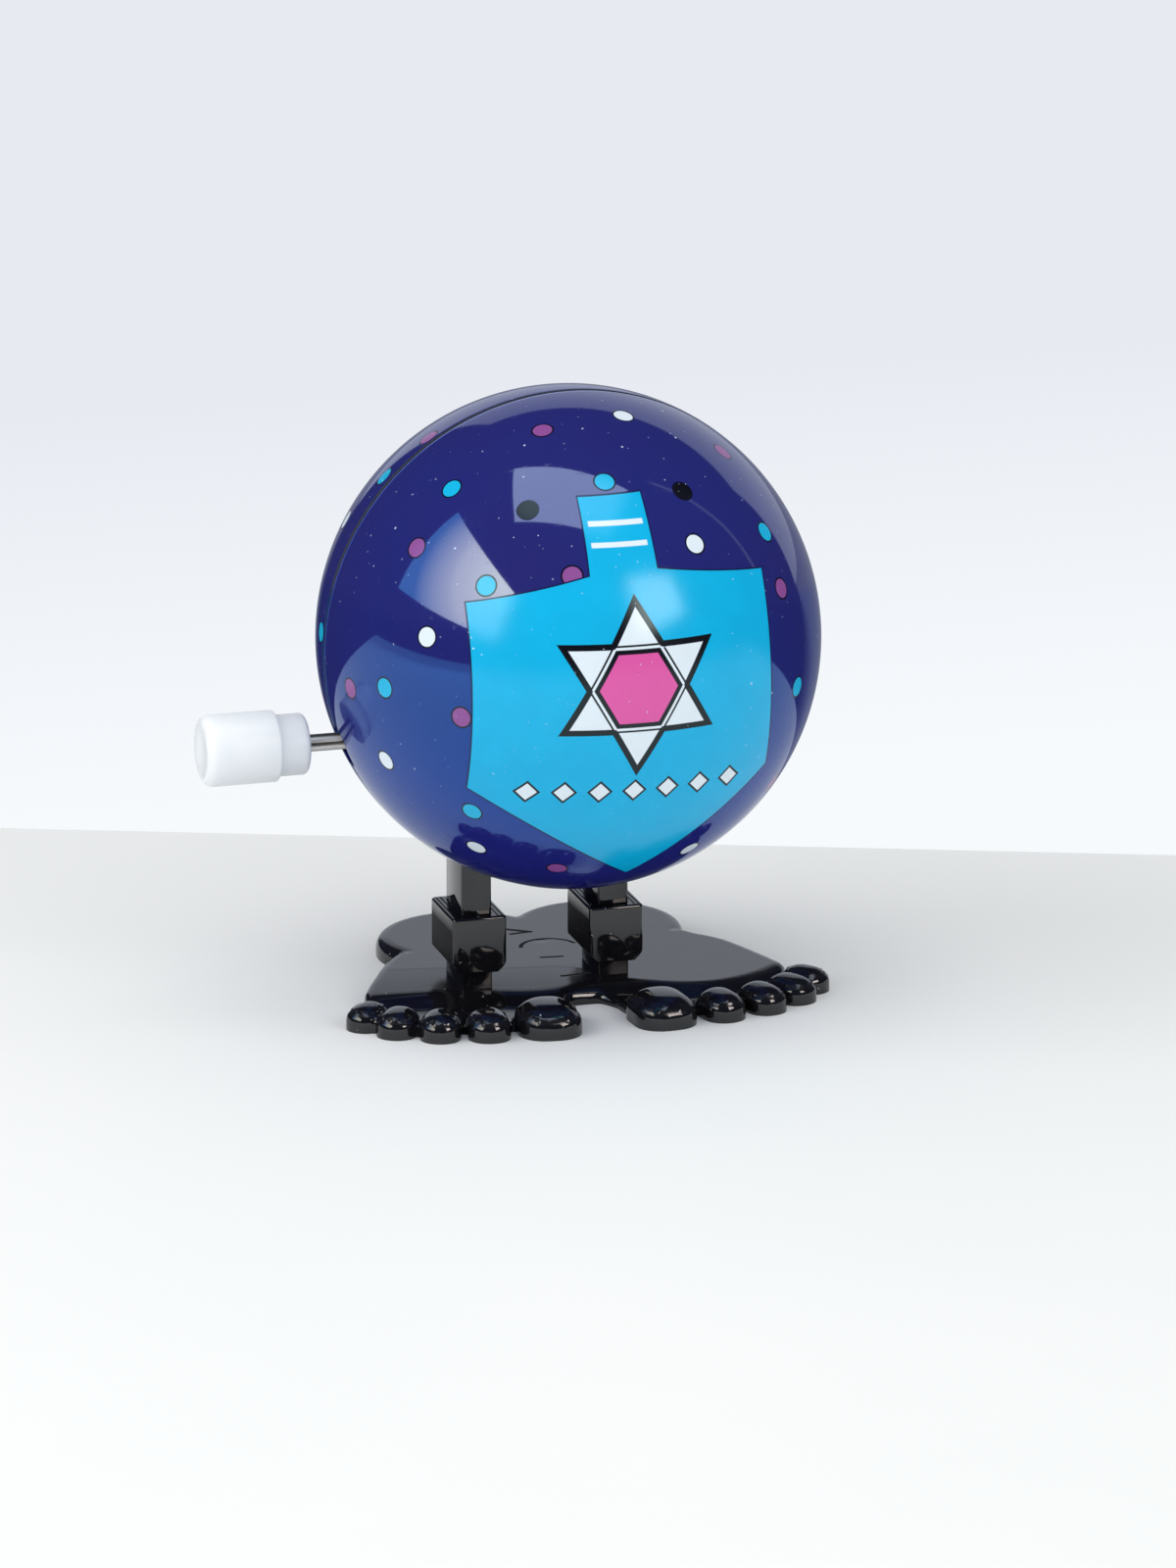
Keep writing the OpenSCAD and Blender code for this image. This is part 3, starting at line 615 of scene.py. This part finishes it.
def posts(way):
    """The two posts inside a shell that take the spigots of the clockwork's mounting arms."""
    made = []
    for rise in post_rises:
        z = stem_z + rise
        bar = round_bar("post", (leg_mid_x, way * post_start, z), (leg_mid_x, way * ball_r, z), post_r)
        combine(bar, round_bar("bore", (leg_mid_x, way * post_bore_start, z),
                               (leg_mid_x, way * post_bore_end, z), post_bore_r))
        made.append(bar)
    made = joined(*made)
    bpy.ops.mesh.primitive_uv_sphere_add(segments=96, ring_count=48, radius=(ball_r - wall / 2) * MM,
                                         location=ball_c * MM)
    combine(made, added("ball_room"), "INTERSECT")
    return made


holes = hole_tools()
for part, way in (("front", -1), ("rear", 1)):
    shell = half_ball("ball_shell_" + part, way, holes)
    inner = [posts(way)]
    if part == "front":
        lip = turned("lip", lip_profile, ball_c, (0, 1, 0), 144)
        combine(lip, holes, keep=True)
        inner.append(lip)
    shell = joined(shell, *inner)
    dress(shell, ball_finish)
    finished(shell, "ball", "shell_" + part, slot="shell_plastic")
bpy.data.objects.remove(holes)

# %% [markdown]
# ## The winding knob
# The knob is a two-step turning in milky plastic. Its half profile is spun about the stem's axis, with
# rounded shoulders, because the soft edges are what the light shows.

# %% The knob
def arc(cx, cr, radius, start, end, steps=6):
    """Points of a rounded corner in the profile, angles in degrees from outwards along the axis."""
    angles = [math.radians(start + (end - start) * i / steps) for i in range(steps + 1)]
    return [(cx + radius * math.cos(a), cr + radius * math.sin(a)) for a in angles]


knob_len = knob_high.x - knob_low.x
grip_r = (knob_high.z - knob_low.z) / 2
collar_r, collar_len = 3.05, 3.0
collar_round, grip_round, end_round = 0.5, 0.35, 0.95
knob_bore_r, knob_bore_len = stem_r + 0.02, 7
# The hollow in the knob's end: depth from the end, and radius
hollow = [(0.15, 1.6), (0.3, 1.1), (0.34, 0.0)]
profile = ([(0, knob_bore_r)] + arc(collar_round, collar_r - collar_round, collar_round, 180, 90)
           + [(collar_len - 0.25, collar_r)]
           + arc(collar_len + grip_round, grip_r - grip_round, grip_round, 180, 90)
           + arc(knob_len - end_round, grip_r - end_round, end_round, 90, 0, 8)
           + [(knob_len - depth, r) for depth, r in hollow]
           + [(knob_bore_len, 0.0), (knob_bore_len, knob_bore_r)])
knob = turned("knob", profile, (knob_high.x, 0, stem_z), (-1, 0, 0), 72)


def milky():
    f = finish("milky_plastic")
    at = f.place()[0]
    cloud = f.noise(at, 0.25, 3)
    colour = f.mix(cloud.over(0.5, 0.4), srgb(230, 233, 236), srgb(225, 229, 232))
    fine = f.noise(at, 3.0, 3)
    return f.surface(Base_Color=colour, Roughness=0.3 + fine * 0.12, Normal=f.bump(fine, 0.5, 0.02),
                     IOR=1.46, Subsurface_Weight=0.8, Subsurface_Radius=(1.0, 1.0, 1.0),
                     Subsurface_Scale=2.5 * MM)


dress(knob, milky())
finished(knob, "winder", "winding_knob", slot="knob_plastic", angle=40)

# %% [markdown]
# ## The stem
# The stem is rolled from steel strip, so it is a tube with a slit along its front. A circle without its
# front vertices is extruded along the axis, and Solidify gives the strip its thickness.

# %% The stem
strip_t = 0.35
bpy.ops.mesh.primitive_circle_add(vertices=48, radius=stem_r * MM, location=mm(stem_low.x, 0, stem_z),
                                  rotation=(0, math.pi / 2, 0))
stem = added("stem")
edit(stem)
pick(stem, "VERT", lambda p: p.y < -stem_r + 0.1 and abs(p.z - stem_z) < 0.2)
bpy.ops.mesh.delete(type="VERT")
bpy.ops.mesh.select_all(action="SELECT")
bpy.ops.mesh.extrude_region_move(TRANSFORM_OT_translate={"value": ((stem_high.x - stem_low.x) * MM, 0, 0)})
bpy.ops.mesh.select_all(action="SELECT")
bpy.ops.mesh.normals_make_consistent(inside=False)
bpy.ops.object.mode_set(mode="OBJECT")
middle = sum((p.center for p in stem.data.polygons), Vector()) / len(stem.data.polygons)
outward = sum(p.normal.dot(p.center - middle) for p in stem.data.polygons)
modify(stem, "SOLIDIFY", thickness=strip_t * MM, offset=-1 if outward > 0 else 1)
modify(stem, "BEVEL", width=0.06 * MM, segments=2, limit_method="ANGLE", angle_limit=math.radians(50))
edit(stem)
bpy.ops.mesh.select_all(action="SELECT")
bpy.ops.mesh.normals_make_consistent(inside=False)
bpy.ops.object.mode_set(mode="OBJECT")


def steel(name, dark, light, rough, grain=(0.4, 6, 6), edges=None, metallic=1.0):
    """Steel drawn along X: the grain is stretched along the wire. On the stem, painted shade darkens the
    upper and lower flanks, where the tube turns away.
    """
    f = finish(name)
    at, _, _, z = f.place()
    lines = f.noise(f.stretched(at, grain), 1.0, 4)
    colour = f.mix(lines.over(0.5, 0.5), dark, light)
    if edges:
        # Painted shade: the tube's upper and lower flanks are darker
        colour = f.mix(abs(z - stem_z).over(stem_r * 0.78, 0.15) * 0.9, colour, edges)
    return f.surface(Base_Color=colour, Metallic=metallic, Roughness=rough + lines * 0.12,
                     Normal=f.bump(lines, 0.4, 0.02))


# The stem's flanks get a painted shade in this dark colour
rolled_steel = steel("rolled_steel", srgb(206, 203, 196), srgb(232, 230, 224), 0.34, edges=srgb(46, 42, 40),
                     metallic=0.4)
dress(stem, rolled_steel)
finished(stem, "winder", "winding_stem", slot="rolled_steel")

# %% [markdown]
# ## The foot moulding
# Plate, toes and heels flow into each other, as in one injection moulding. Overlapping simple forms are
# remeshed into one skin, and a few smoothing passes give the small fillets between the toes. All forms
# reach below the floor and are cut off there, so the lower edges stay crisp.
# Plate, heels and toes are all slabs: an outline is extruded and its top edge bevelled. The toes only get a
# larger bevel, which makes them domes on a low straight side.

# %% The plate
heel_r, heel_x, heel_y = 8.9, 7.0, 16.0
plate_t, cut_depth = 2.0, 1.2


def slab(name, outline, top, rounding, steps=6):
    """A flat form from an outline in mm round the plate's middle, with its top edge rounded."""
    bpy.ops.mesh.primitive_circle_add(vertices=len(outline), radius=MM, fill_type="NGON")
    o = added(name)
    for vertex, (px, py) in zip(o.data.vertices, outline):
        vertex.co = mm(plate_x + px, py, -cut_depth)
    edit(o)
    bpy.ops.mesh.select_all(action="SELECT")
    bpy.ops.mesh.extrude_region_move(TRANSFORM_OT_translate={"value": (0, 0, (top + cut_depth) * MM)})
    bpy.ops.mesh.select_all(action="SELECT")
    bpy.ops.mesh.normals_make_consistent(inside=False)
    pick(o, "EDGE", lambda p: p.z > top - 0.01)
    bpy.ops.mesh.bevel(offset=rounding * MM, segments=steps, affect="EDGES")
    bpy.ops.object.mode_set(mode="OBJECT")
    return o


# The right half of the plate's edge, from the heel forwards round the foot to the middle
side_edge = [(7, 12), (15.1, 12.2), (16.1, 10.4), (17.3, 9.1), (18.4, 7.4), (19.3, 5.1), (20.2, 2.4),
             (20.9, 0.2), (21.4, -1.6), (21.8, -3.8), (20.6, -6.6), (18.0, -8.9), (14.2, -10.4),
             (9.6, -11.0), (6.0, -10.6), (3.1, -9.4), (2.7, -6.4), (1.6, -4.4)]
# The left foot flares later, and from the widest place on it mirrors the right one
widest = side_edge.index((21.8, -3.8))
left_edge = [(-7, 12), (-15.1, 12.2), (-16.2, 10.7), (-17.1, 9.4), (-18.2, 7.4), (-19.3, 5.2), (-20.5, 2.9),
             (-21.4, 0.9), (-21.8, -1.2)] + [(-px, py) for px, py in side_edge[widest:]]
plate = slab("plate", [(px, py) for px, py in reversed(side_edge)] + left_edge, plate_t, 0.9)
for way in (1, -1):
    heel = [(way * (heel_x + heel_r * math.cos(a)), heel_y + heel_r * math.sin(a))
            for a in (2 * math.pi * way * i / 96 for i in range(96))]
    plate = joined(plate, slab("heel", heel, plate_t, 1.2))
modify(plate, "REMESH", mode="VOXEL", voxel_size=0.3 * MM)

# %% [markdown]
# The top falls into a trough before the toes, wider on the left foot. The line where it starts is given by
# a few points, and every vertex in front of that line is lowered by its distance from it.

# %% The trough
trough_line = [(-26, 0.6), (-18.2, 0.2), (-13, -0.3), (-8.7, -1.5), (-5.4, -2.6), (-1.7, -2.8), (1.9, -2.4),
               (4.5, -2.6), (6.8, -3.8), (8.7, -5.1), (11.9, -6.0), (14.6, -5.8), (17.8, -4.5), (21, -2.1),
               (26, 1)]
trough_depth, trough_len, left_extra = 1.1, 3.0, 1.8
slope_drop, slope_len = 0.3, 8.0
# The line is rounded by its mean over these shifts, and the left foot's form fades out over this width
line_shifts, fade_x, fade_w = (-1.2, -0.6, 0, 0.6, 1.2), 4, 8


def step(v):
    v = min(max(v, 0), 1)
    return v * v * (3 - 2 * v)


def line_y(x):
    """The trough's start at x, between the two nearest points of its line."""
    for (x0, y0), (x1, y1) in zip(trough_line, trough_line[1:]):
        if x <= x1:
            return y0 + (y1 - y0) * (x - x0) / (x1 - x0)


for vertex in plate.data.vertices:
    x, y, z = vertex.co / MM
    if z > 0:
        ahead = sum(line_y(x + shift) for shift in line_shifts) / len(line_shifts) - y
        left = step((fade_x - x) / fade_w)
        drop = trough_depth * step(ahead / (trough_len + left_extra * left))
        drop += slope_drop * left * min(max(ahead / slope_len + 1, 0), 1) ** 2
        vertex.co.z *= 1 - drop / plate_t
print("plate with its trough:", len(plate.data.polygons), "faces")

# %% The toes
def rounded(width, length, corner, steps=8):
    """The outline of a rectangle with round corners, anticlockwise."""
    points = []
    for k, (sx, sy) in enumerate(((1, 1), (-1, 1), (-1, -1), (1, -1))):
        for i in range(steps + 1):
            a = math.radians(90 * (k + i / steps))
            points.append((sx * (width / 2 - corner) + corner * math.cos(a),
                           sy * (length / 2 - corner) + corner * math.sin(a)))
    return points


# Tip, outward turn in degrees, then length, width, height, corner and top rounding
toes = [((6.1, -15.0), 4, (7.4, 6.4, 3.05, 2.7, 2.1)),
        ((12.4, -14.2), 9, (5.6, 4.3, 2.65, 2.05, 1.7)),
        ((17.35, -12.95), 17, (5.5, 4.1, 2.6, 1.95, 1.65)),
        ((21.5, -10.5), 27, (5.4, 4.05, 2.5, 1.92, 1.6)),
        ((24.25, -7.2), 40, (5.0, 3.7, 2.4, 1.78, 1.5))]
# How much a toe falls towards its edge, as a share of its height, and from how far under the plate's top
dome_fall, dome_start = 0.13, 0.6
domes = []
for (tip_x, tip_y), turn, (length, width, height, corner, rounding) in toes:
    s, c = math.sin(math.radians(turn)), math.cos(math.radians(turn))
    mid_x, mid_y = tip_x - s * length / 2, tip_y + c * length / 2
    for way in (1, -1):
        domes.append((way * mid_x, mid_y, way * s, c, length, width, height))
        outline = [(way * (mid_x + px * c - py * s), mid_y + px * s + py * c)
                   for px, py in rounded(width, length, corner)[::way]]
        plate = joined(plate, slab("toe", outline, height, rounding, 8))

modify(plate, "REMESH", mode="VOXEL", voxel_size=0.2 * MM)
modify(plate, "SMOOTH", factor=0.5, iterations=8)
for vertex in plate.data.vertices:
    x, y, z = vertex.co / MM
    if abs(z - plate_t) < 0.02:
        vertex.co.z = plate_t * MM
    elif y < 0 and z > plate_t - dome_start:
        for mid_x, mid_y, s, c, length, width, height in domes:
            dx, dy = x - plate_x - mid_x, y - mid_y
            u, v = dx * c + dy * s, dy * c - dx * s
            off = (2 * u / width) ** 2 + (2 * v / length) ** 2
            if off < 1:
                share = (z - plate_t + dome_start) / (height - plate_t + dome_start)
                vertex.co.z -= dome_fall * height * off * share * MM
                break
edit(plate)
bpy.ops.mesh.select_all(action="SELECT")
bpy.ops.mesh.bisect(plane_co=(0, 0, 0), plane_no=(0, 0, 1), clear_inner=True, use_fill=True,
                    threshold=0.01 * MM)
bpy.ops.mesh.select_all(action="SELECT")
bpy.ops.mesh.normals_make_consistent(inside=False)
bpy.ops.object.mode_set(mode="OBJECT")
print("plate and toes:", len(plate.data.polygons), "faces")

# %% [markdown]
# ## The sockets
# Each leg stands in a square socket on a narrow neck. The underside is chamfered left and right only, the
# upright edges are rounded, and the pocket is cut by a bar with the leg's own section.

# %% The sockets
socket_w, socket_d, socket_low, socket_high = 5.6, 8.4, 3.6, 9.4
neck_low, neck_high, pocket_floor, pocket_fit = 0.6, 4.6, 5.3, 0.02
chamfer, upright_round, rim_round, neck_round = 0.9, 0.45, 0.25, 0.2
# The fine grooves in the rim: distances from the socket's middle, width, depth and half length
groove_places, groove_w, groove_depth, groove_reach = (1.85, 2.3), 0.17, 0.18, 3.9
sockets = []
for side, middle in leg_x.items():
    half_w, half_d = socket_w / 2, socket_d / 2
    box = block("socket_" + side, (middle - half_w, leg_y - half_d, socket_low),
                (middle + half_w, leg_y + half_d, socket_high))
    edit(box)
    pick(box, "EDGE", lambda p: p.z < socket_low + 0.1 and abs(p.x - middle) > half_w - 0.1)
    bpy.ops.mesh.bevel(offset=chamfer * MM, segments=1, affect="EDGES")
    pick(box, "EDGE", lambda p: abs(p.y - leg_y) > half_d - 0.01 and abs(p.x - middle) > half_w - 0.01)
    bpy.ops.mesh.bevel(offset=upright_round * MM, segments=4, affect="EDGES")
    pick(box, "EDGE", lambda p: p.z > socket_high - 0.01)
    bpy.ops.mesh.bevel(offset=rim_round * MM, segments=3, affect="EDGES")
    bpy.ops.object.mode_set(mode="OBJECT")
    half_w, half_d = leg_w / 2, leg_d / 2 + 0.1
    combine(box, block("neck", (middle - half_w, leg_y - half_d, neck_low),
                       (middle + half_w, leg_y + half_d, neck_high)), "UNION")
    modify(box, "BEVEL", width=neck_round * MM, segments=3, limit_method="ANGLE",
           angle_limit=math.radians(40))
    half_w, half_d = leg_w / 2 + pocket_fit, leg_d / 2 + pocket_fit
    combine(box, block("pocket", (middle - half_w, leg_y - half_d, pocket_floor),
                       (middle + half_w, leg_y + half_d, 12)))
    for way in (-1, 1):
        for out in groove_places:
            x0, x1 = sorted((middle + way * out, middle + way * (out + groove_w)))
            combine(box, block("rim_groove", (x0, leg_y - groove_reach, socket_high - groove_depth),
                               (x1, leg_y + groove_reach, socket_high + 1)))
    sockets.append(box)

feet = joined(plate, *sockets)


# Start, end and half width of each stroke on the plate's top, and the arc before the heels
marks = [((-1.75, 16.1), (0.15, 14.75), 0.3), ((-1.9, 14.5), (0.15, 14.75), 0.24),
         ((-1.1, 5.95), (0.95, 5.75), 0.22), ((-0.7, -0.35), (1.9, -0.3), 0.25)]
arc_x, arc_y, arc_r, arc_front, arc_half, mark_soft = 0.6, 9.2, 2.85, 9.9, 0.19, 0.08


def stroke(x, y, start, end):
    """Distance in mm from a short straight stroke."""
    (px, py), (qx, qy) = start, end
    dx, dy = qx - px, qy - py
    along = ((x - px) * dx + (y - py) * dy) / (dx * dx + dy * dy)
    along = along.most(0).least(1)
    return ((x - px - along * dx) ** 2 + (y - py - along * dy) ** 2) ** 0.5


def gloss_black(name, shaded_sides=False):
    """Black plastic with a faint orange peel, fine dust and the small moulded marks on the plate's top,
    whose grooves are darkened with painted shade. With shaded sides, a matte copy with little shine is mixed
    in as painted shade.
    """
    f = finish(name)
    at, x, y, z = f.place()
    cloud = f.noise(at, 0.3, 3)
    colour = f.mix(cloud.over(0.5, 0.4), srgb(15, 15, 18), srgb(20, 20, 23))
    dust = f.specks(at, 0.8, 2.1, 0.1, 0.6)
    colour = f.mix(dust * 0.5, colour, srgb(190, 192, 198))
    top = z.over(plate_t - 0.4, 0.05) * (1 - z.over(plate_t + 0.1, 0.05))
    ring = abs(((x - arc_x) ** 2 + (y - arc_y) ** 2) ** 0.5 - arc_r).most(arc_front - y)
    shaded_groove = 1 - ring.over(arc_half, mark_soft)
    for start, end, half in marks:
        shaded_groove = shaded_groove.most(1 - stroke(x, y, start, end).over(half, mark_soft))
    shaded_groove = shaded_groove * top
    # Painted shade darkens the marks' grooves
    colour = f.mix(shaded_groove * 0.9, colour, srgb(3, 3, 4))
    peel = f.noise(at, 0.35, 2)
    normal = f.bump(peel * 0.08 + dust * 0.2 - shaded_groove * 1.5, 1.0, 0.12)
    roughness = 0.05 + cloud * 0.05 + dust * 0.3 + top * 0.13 + shaded_groove * 0.6
    shiny = f.principled(Base_Color=colour, Roughness=roughness, Normal=normal, IOR=1.5,
                         Specular_IOR_Level=0.7)
    if not shaded_sides:
        return f.output(shiny)
    # Painted shade: a matte copy with little shine keeps the sockets' flat sides dark below the rim
    matte_shade = f.principled(Base_Color=colour, Roughness=0.55, Normal=normal, Specular_IOR_Level=0.1)
    return f.output(f.mix_shaders(z.over(8.5, 1.3), matte_shade, shiny))


black_plastic = gloss_black("gloss_black_plastic")
dress(feet, black_plastic)
# The sockets' flat sides take the matte copy, which is painted shade
feet.data.materials.append(gloss_black("black_plastic_painted_shade", shaded_sides=True))
for face in feet.data.polygons:
    if abs(face.normal.x) > 0.97 and socket_low + 0.5 < face.center.z / MM < socket_high - 0.2:
        face.material_index = 1
feet.name = feet.data.name = "foot_moulding"
finished(feet, "feet", "foot_plate", slot="foot_plastic", angle=35)

# %% [markdown]
# ## The legs
# A leg is a plain bar up to the ball. Inside the ball only a thin plate beside the crank disc is left, with
# the crank pin's bore and, above it, an open slot that straddles the guide post.

# %% The legs
# Heights of the bar's end, the crank pin and the slot's floor, then the thin plate's thickness
step_z, pin_z, slot_z, thin = 17.11, 21.3106, 22.91, 1.4
pin_bore_r, slot_half = 0.85, 2.2
for side, (low, high) in leg_boxes.items():
    outer, way = (low.x, -1) if side == "left" else (high.x, 1)
    x0, x1 = min(outer, outer - way * thin), max(outer, outer - way * thin)
    bar = block("leg_bar_" + side, low, (high.x, high.y, step_z))
    combine(bar, block("fork", (x0, low.y, step_z - 1), (x1, high.y, high.z)), "UNION")
    combine(bar, round_bar("pin_bore", (x0 - 1, leg_y, pin_z), (x1 + 1, leg_y, pin_z), pin_bore_r))
    combine(bar, block("slot", (x0 - 1, leg_y - slot_half, slot_z), (x1 + 1, leg_y + slot_half, 30)))
    modify(bar, "BEVEL", width=0.3 * MM, segments=3, limit_method="ANGLE", angle_limit=math.radians(60))
    dress(bar, black_plastic)
    finished(bar, "feet", "leg_" + side, slot="foot_plastic")

# %% [markdown]
# ## The clockwork inside
# The wheels, pins, spring and case are hidden in the closed ball. Their CAD meshes are right as they are,
# so they only get their materials: milky acetal for the wheels, steel for pins and spring, and a grainy
# grey-white moulding for the case.

# %% Materials of the clockwork
def moulded(name, light, dark, rough, grain):
    f = finish(name)
    at = f.place()[0]
    cloud = f.noise(at, 0.4, 3)
    colour = f.mix(cloud.over(0.5, 0.4), light, dark)
    fine = f.noise(at, grain, 3)
    return f.surface(Base_Color=colour, Roughness=rough + fine * 0.15, Normal=f.bump(fine, 0.4, 0.03),
                     IOR=1.48)


acetal = moulded("acetal", srgb(240, 237, 226), srgb(232, 229, 217), 0.3, 4.0)
case_plastic = moulded("case_plastic", srgb(226, 226, 221), srgb(217, 217, 213), 0.42, 2.5)
pin_steel = steel("pin_steel", srgb(176, 176, 178), srgb(205, 205, 206), 0.14)
spring_steel = steel("spring_steel", srgb(120, 124, 130), srgb(150, 153, 158), 0.22, (6, 0.4, 6))
inside = {
    acetal: ["great_wheel", "idler_wheel", "crank_wheel", "crank_left", "crank_right", "escape_wheel",
             "pallet"],
    case_plastic: ["gearbox_case", "gearbox_cover"],
    pin_steel: ["idler_pin", "crank_axle", "escape_pin", "pallet_pin"],
    spring_steel: ["mainspring"],
}
for material, nodes in inside.items():
    for node in nodes:
        dress(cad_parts[node], material)
print("clockwork nodes dressed:", sum(len(n) for n in inside.values()))

# %% [markdown]
# ## Table and light
# The toy stands on a pale table whose far edge runs close behind it, with bright paper beyond. Two soft
# boxes, at the left and overhead, and a small lamp at the right are what the ball mirrors.
# In the frame the ball stays where it is and the cranks move the feet. So the table rides on the feet, and
# the toy stands on it at every pose.

# %% The table
bright_wall, dark_room = srgb(204, 210, 222), srgb(46, 50, 72)


def backdrop(x, y, soft):
    """1 in the directions, seen from above, where the bright backdrop stands behind the toy."""
    return (x * 0.996 + y * 0.087).over(0, soft) * (y * 0.883 - x * 0.469).over(0, soft)


def table_paper():
    f = finish("table_paper")
    at = f.place()[0]
    cloud = f.noise(at, 0.012, 4)
    colour = f.mix(cloud.over(0.5, 0.5), srgb(237, 237, 236), srgb(233, 234, 233))
    return f.output(f.add("BsdfDiffuse", None, {"Color": colour}).value())


def bright_paper():
    """Paper white for the camera, a light or dark wall for mirrors, plain paper for all other light."""
    f = finish("bright_paper")
    _, x, y, _ = f.place()
    seen = f.mix(y.over(200, 190), srgb(247, 250, 253), srgb(231, 234, 241))
    mirrored = f.mix(backdrop(x, y, 40), dark_room, srgb(142, 146, 158))
    camera_ray = f.camera_ray()
    glow = f.glow(f.mix(camera_ray, mirrored, seen))
    paper = f.add("BsdfDiffuse", None, {"Color": srgb(240, 243, 247)}).value()
    return f.output(f.mix_shaders(camera_ray.most(f.mirror_ray()), paper, glow))


# A point on the table's far edge, then half that edge's length and the table's depth in m
edge_at, edge_half, table_depth = mm(16.6, 50.6, 0), 1.5, 2.5
bpy.ops.mesh.primitive_plane_add(size=1, location=(0, 0, 0))
table = added("table")
along, away = Vector((0.935, -0.355, 0)), Vector((0.355, 0.935, 0))
corners = ((-edge_half, -table_depth), (edge_half, -table_depth), (-edge_half, 0), (edge_half, 0))
for vertex, (u, v) in zip(table.data.vertices, corners):
    vertex.co = edge_at + along * u + away * v
dress(table, table_paper())
bpy.ops.mesh.primitive_plane_add(size=6, location=(0, 0, -0.01))
beyond = added("paper_beyond")
dress(beyond, bright_paper())
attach(table, "feet")
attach(beyond, "feet")
print("table and paper are in place")

# %% The lamps
def soft_box(name, corners, colour):
    """A glowing rectangle given by its corners in mm. The camera doesn't see it, only mirrors do."""
    bpy.ops.mesh.primitive_plane_add(size=1)
    o = added(name)
    for vertex, corner in zip(o.data.vertices, (corners[0], corners[1], corners[3], corners[2])):
        vertex.co = mm(*corner)
    f = finish(name + "_light")
    dress(o, f.output(f.glow(colour(f))))
    o.visible_camera = False


def lamp_colour(f, mirrored, given):
    """Mirrors show a lamp in one colour, and everything else gets a plain white light from it."""
    return f.mix(f.mirror_ray(), (given, given, given, 1), mirrored)


def plain(mirrored, given):
    return lambda f: lamp_colour(f, (*mirrored, 1), given)


def with_bulb(f):
    """Brighter and warmer towards the bulb, which sits at the front of the left box."""
    bulb_y, bulb_z = -300, 380
    _, _, y, z = f.place()
    distance = ((y - bulb_y) ** 2 + (z - bulb_z) ** 2) ** 0.5
    colour = f.mix(1 - distance.over(310, 170), (0.3, 0.95, 2.0, 1), (3.9, 3.8, 3.7, 1))
    colour = f.mix(1 - distance.over(150, 200), colour, (6.2, 6.0, 5.0, 1))
    return lamp_colour(f, colour, 3.1)


soft_box("left_box", [(-356, 108, 468), (-336, -353, 341), (-423, -374, 142), (-524, 150, 198)], with_bulb)
soft_box("top_box", [(-124, 120, 500), (-228, -109, 500), (72, -285, 500), (169, -66, 500)],
         plain((1.9, 2.1, 2.5), 2.3))
soft_box("right_box", [(111, -385, 342), (266, -318, 320), (305, -366, 195), (146, -468, 154)],
         plain((9, 8, 7.5), 4.5))

# %% The world
world = bpy.data.worlds.new("studio")
bpy.context.scene.world = world
sky = Finish(world)
way_out = sky.add("SeparateXYZ", None, {0: sky.add("TexCoord").value("Generated")})
x, y, z = way_out.value(0), way_out.value(1), way_out.value(2)
# The wall's upper edge slopes, and a thin pole of light stands beside it
wall_top = (x * 0.174 + y * 0.985) * 0.77
wall_seen = backdrop(x, y, 0.02) * (1 - (z - wall_top).over(0, 0.03))
pole = 1 - abs(y - 0.02).over(0.012, 0.01)
pole = pole * x.over(0.3, 0.1) * z.over(0.25, 0.05) * (1 - z.over(0.87, 0.03))
mirrored = sky.mix(wall_seen * (1 - z.over(0.45, 0.5) * 0.3), dark_room, bright_wall)
mirrored = sky.mix(pole * 0.5, mirrored, srgb(220, 225, 235))
daylight = sky.mix((0 - y).over(0, 1.4), srgb(192, 195, 197), srgb(236, 239, 241))
colour = sky.mix(sky.mirror_ray(), daylight, mirrored)
colour = sky.mix(sky.camera_ray(), colour, srgb(247, 250, 253))
sky.add("OutputWorld", None, {0: sky.add("Background", None, {"Color": colour, "Strength": 1.0}).value()})
bpy.context.scene.view_settings.view_transform = "Standard"
print("world and lamps are set")
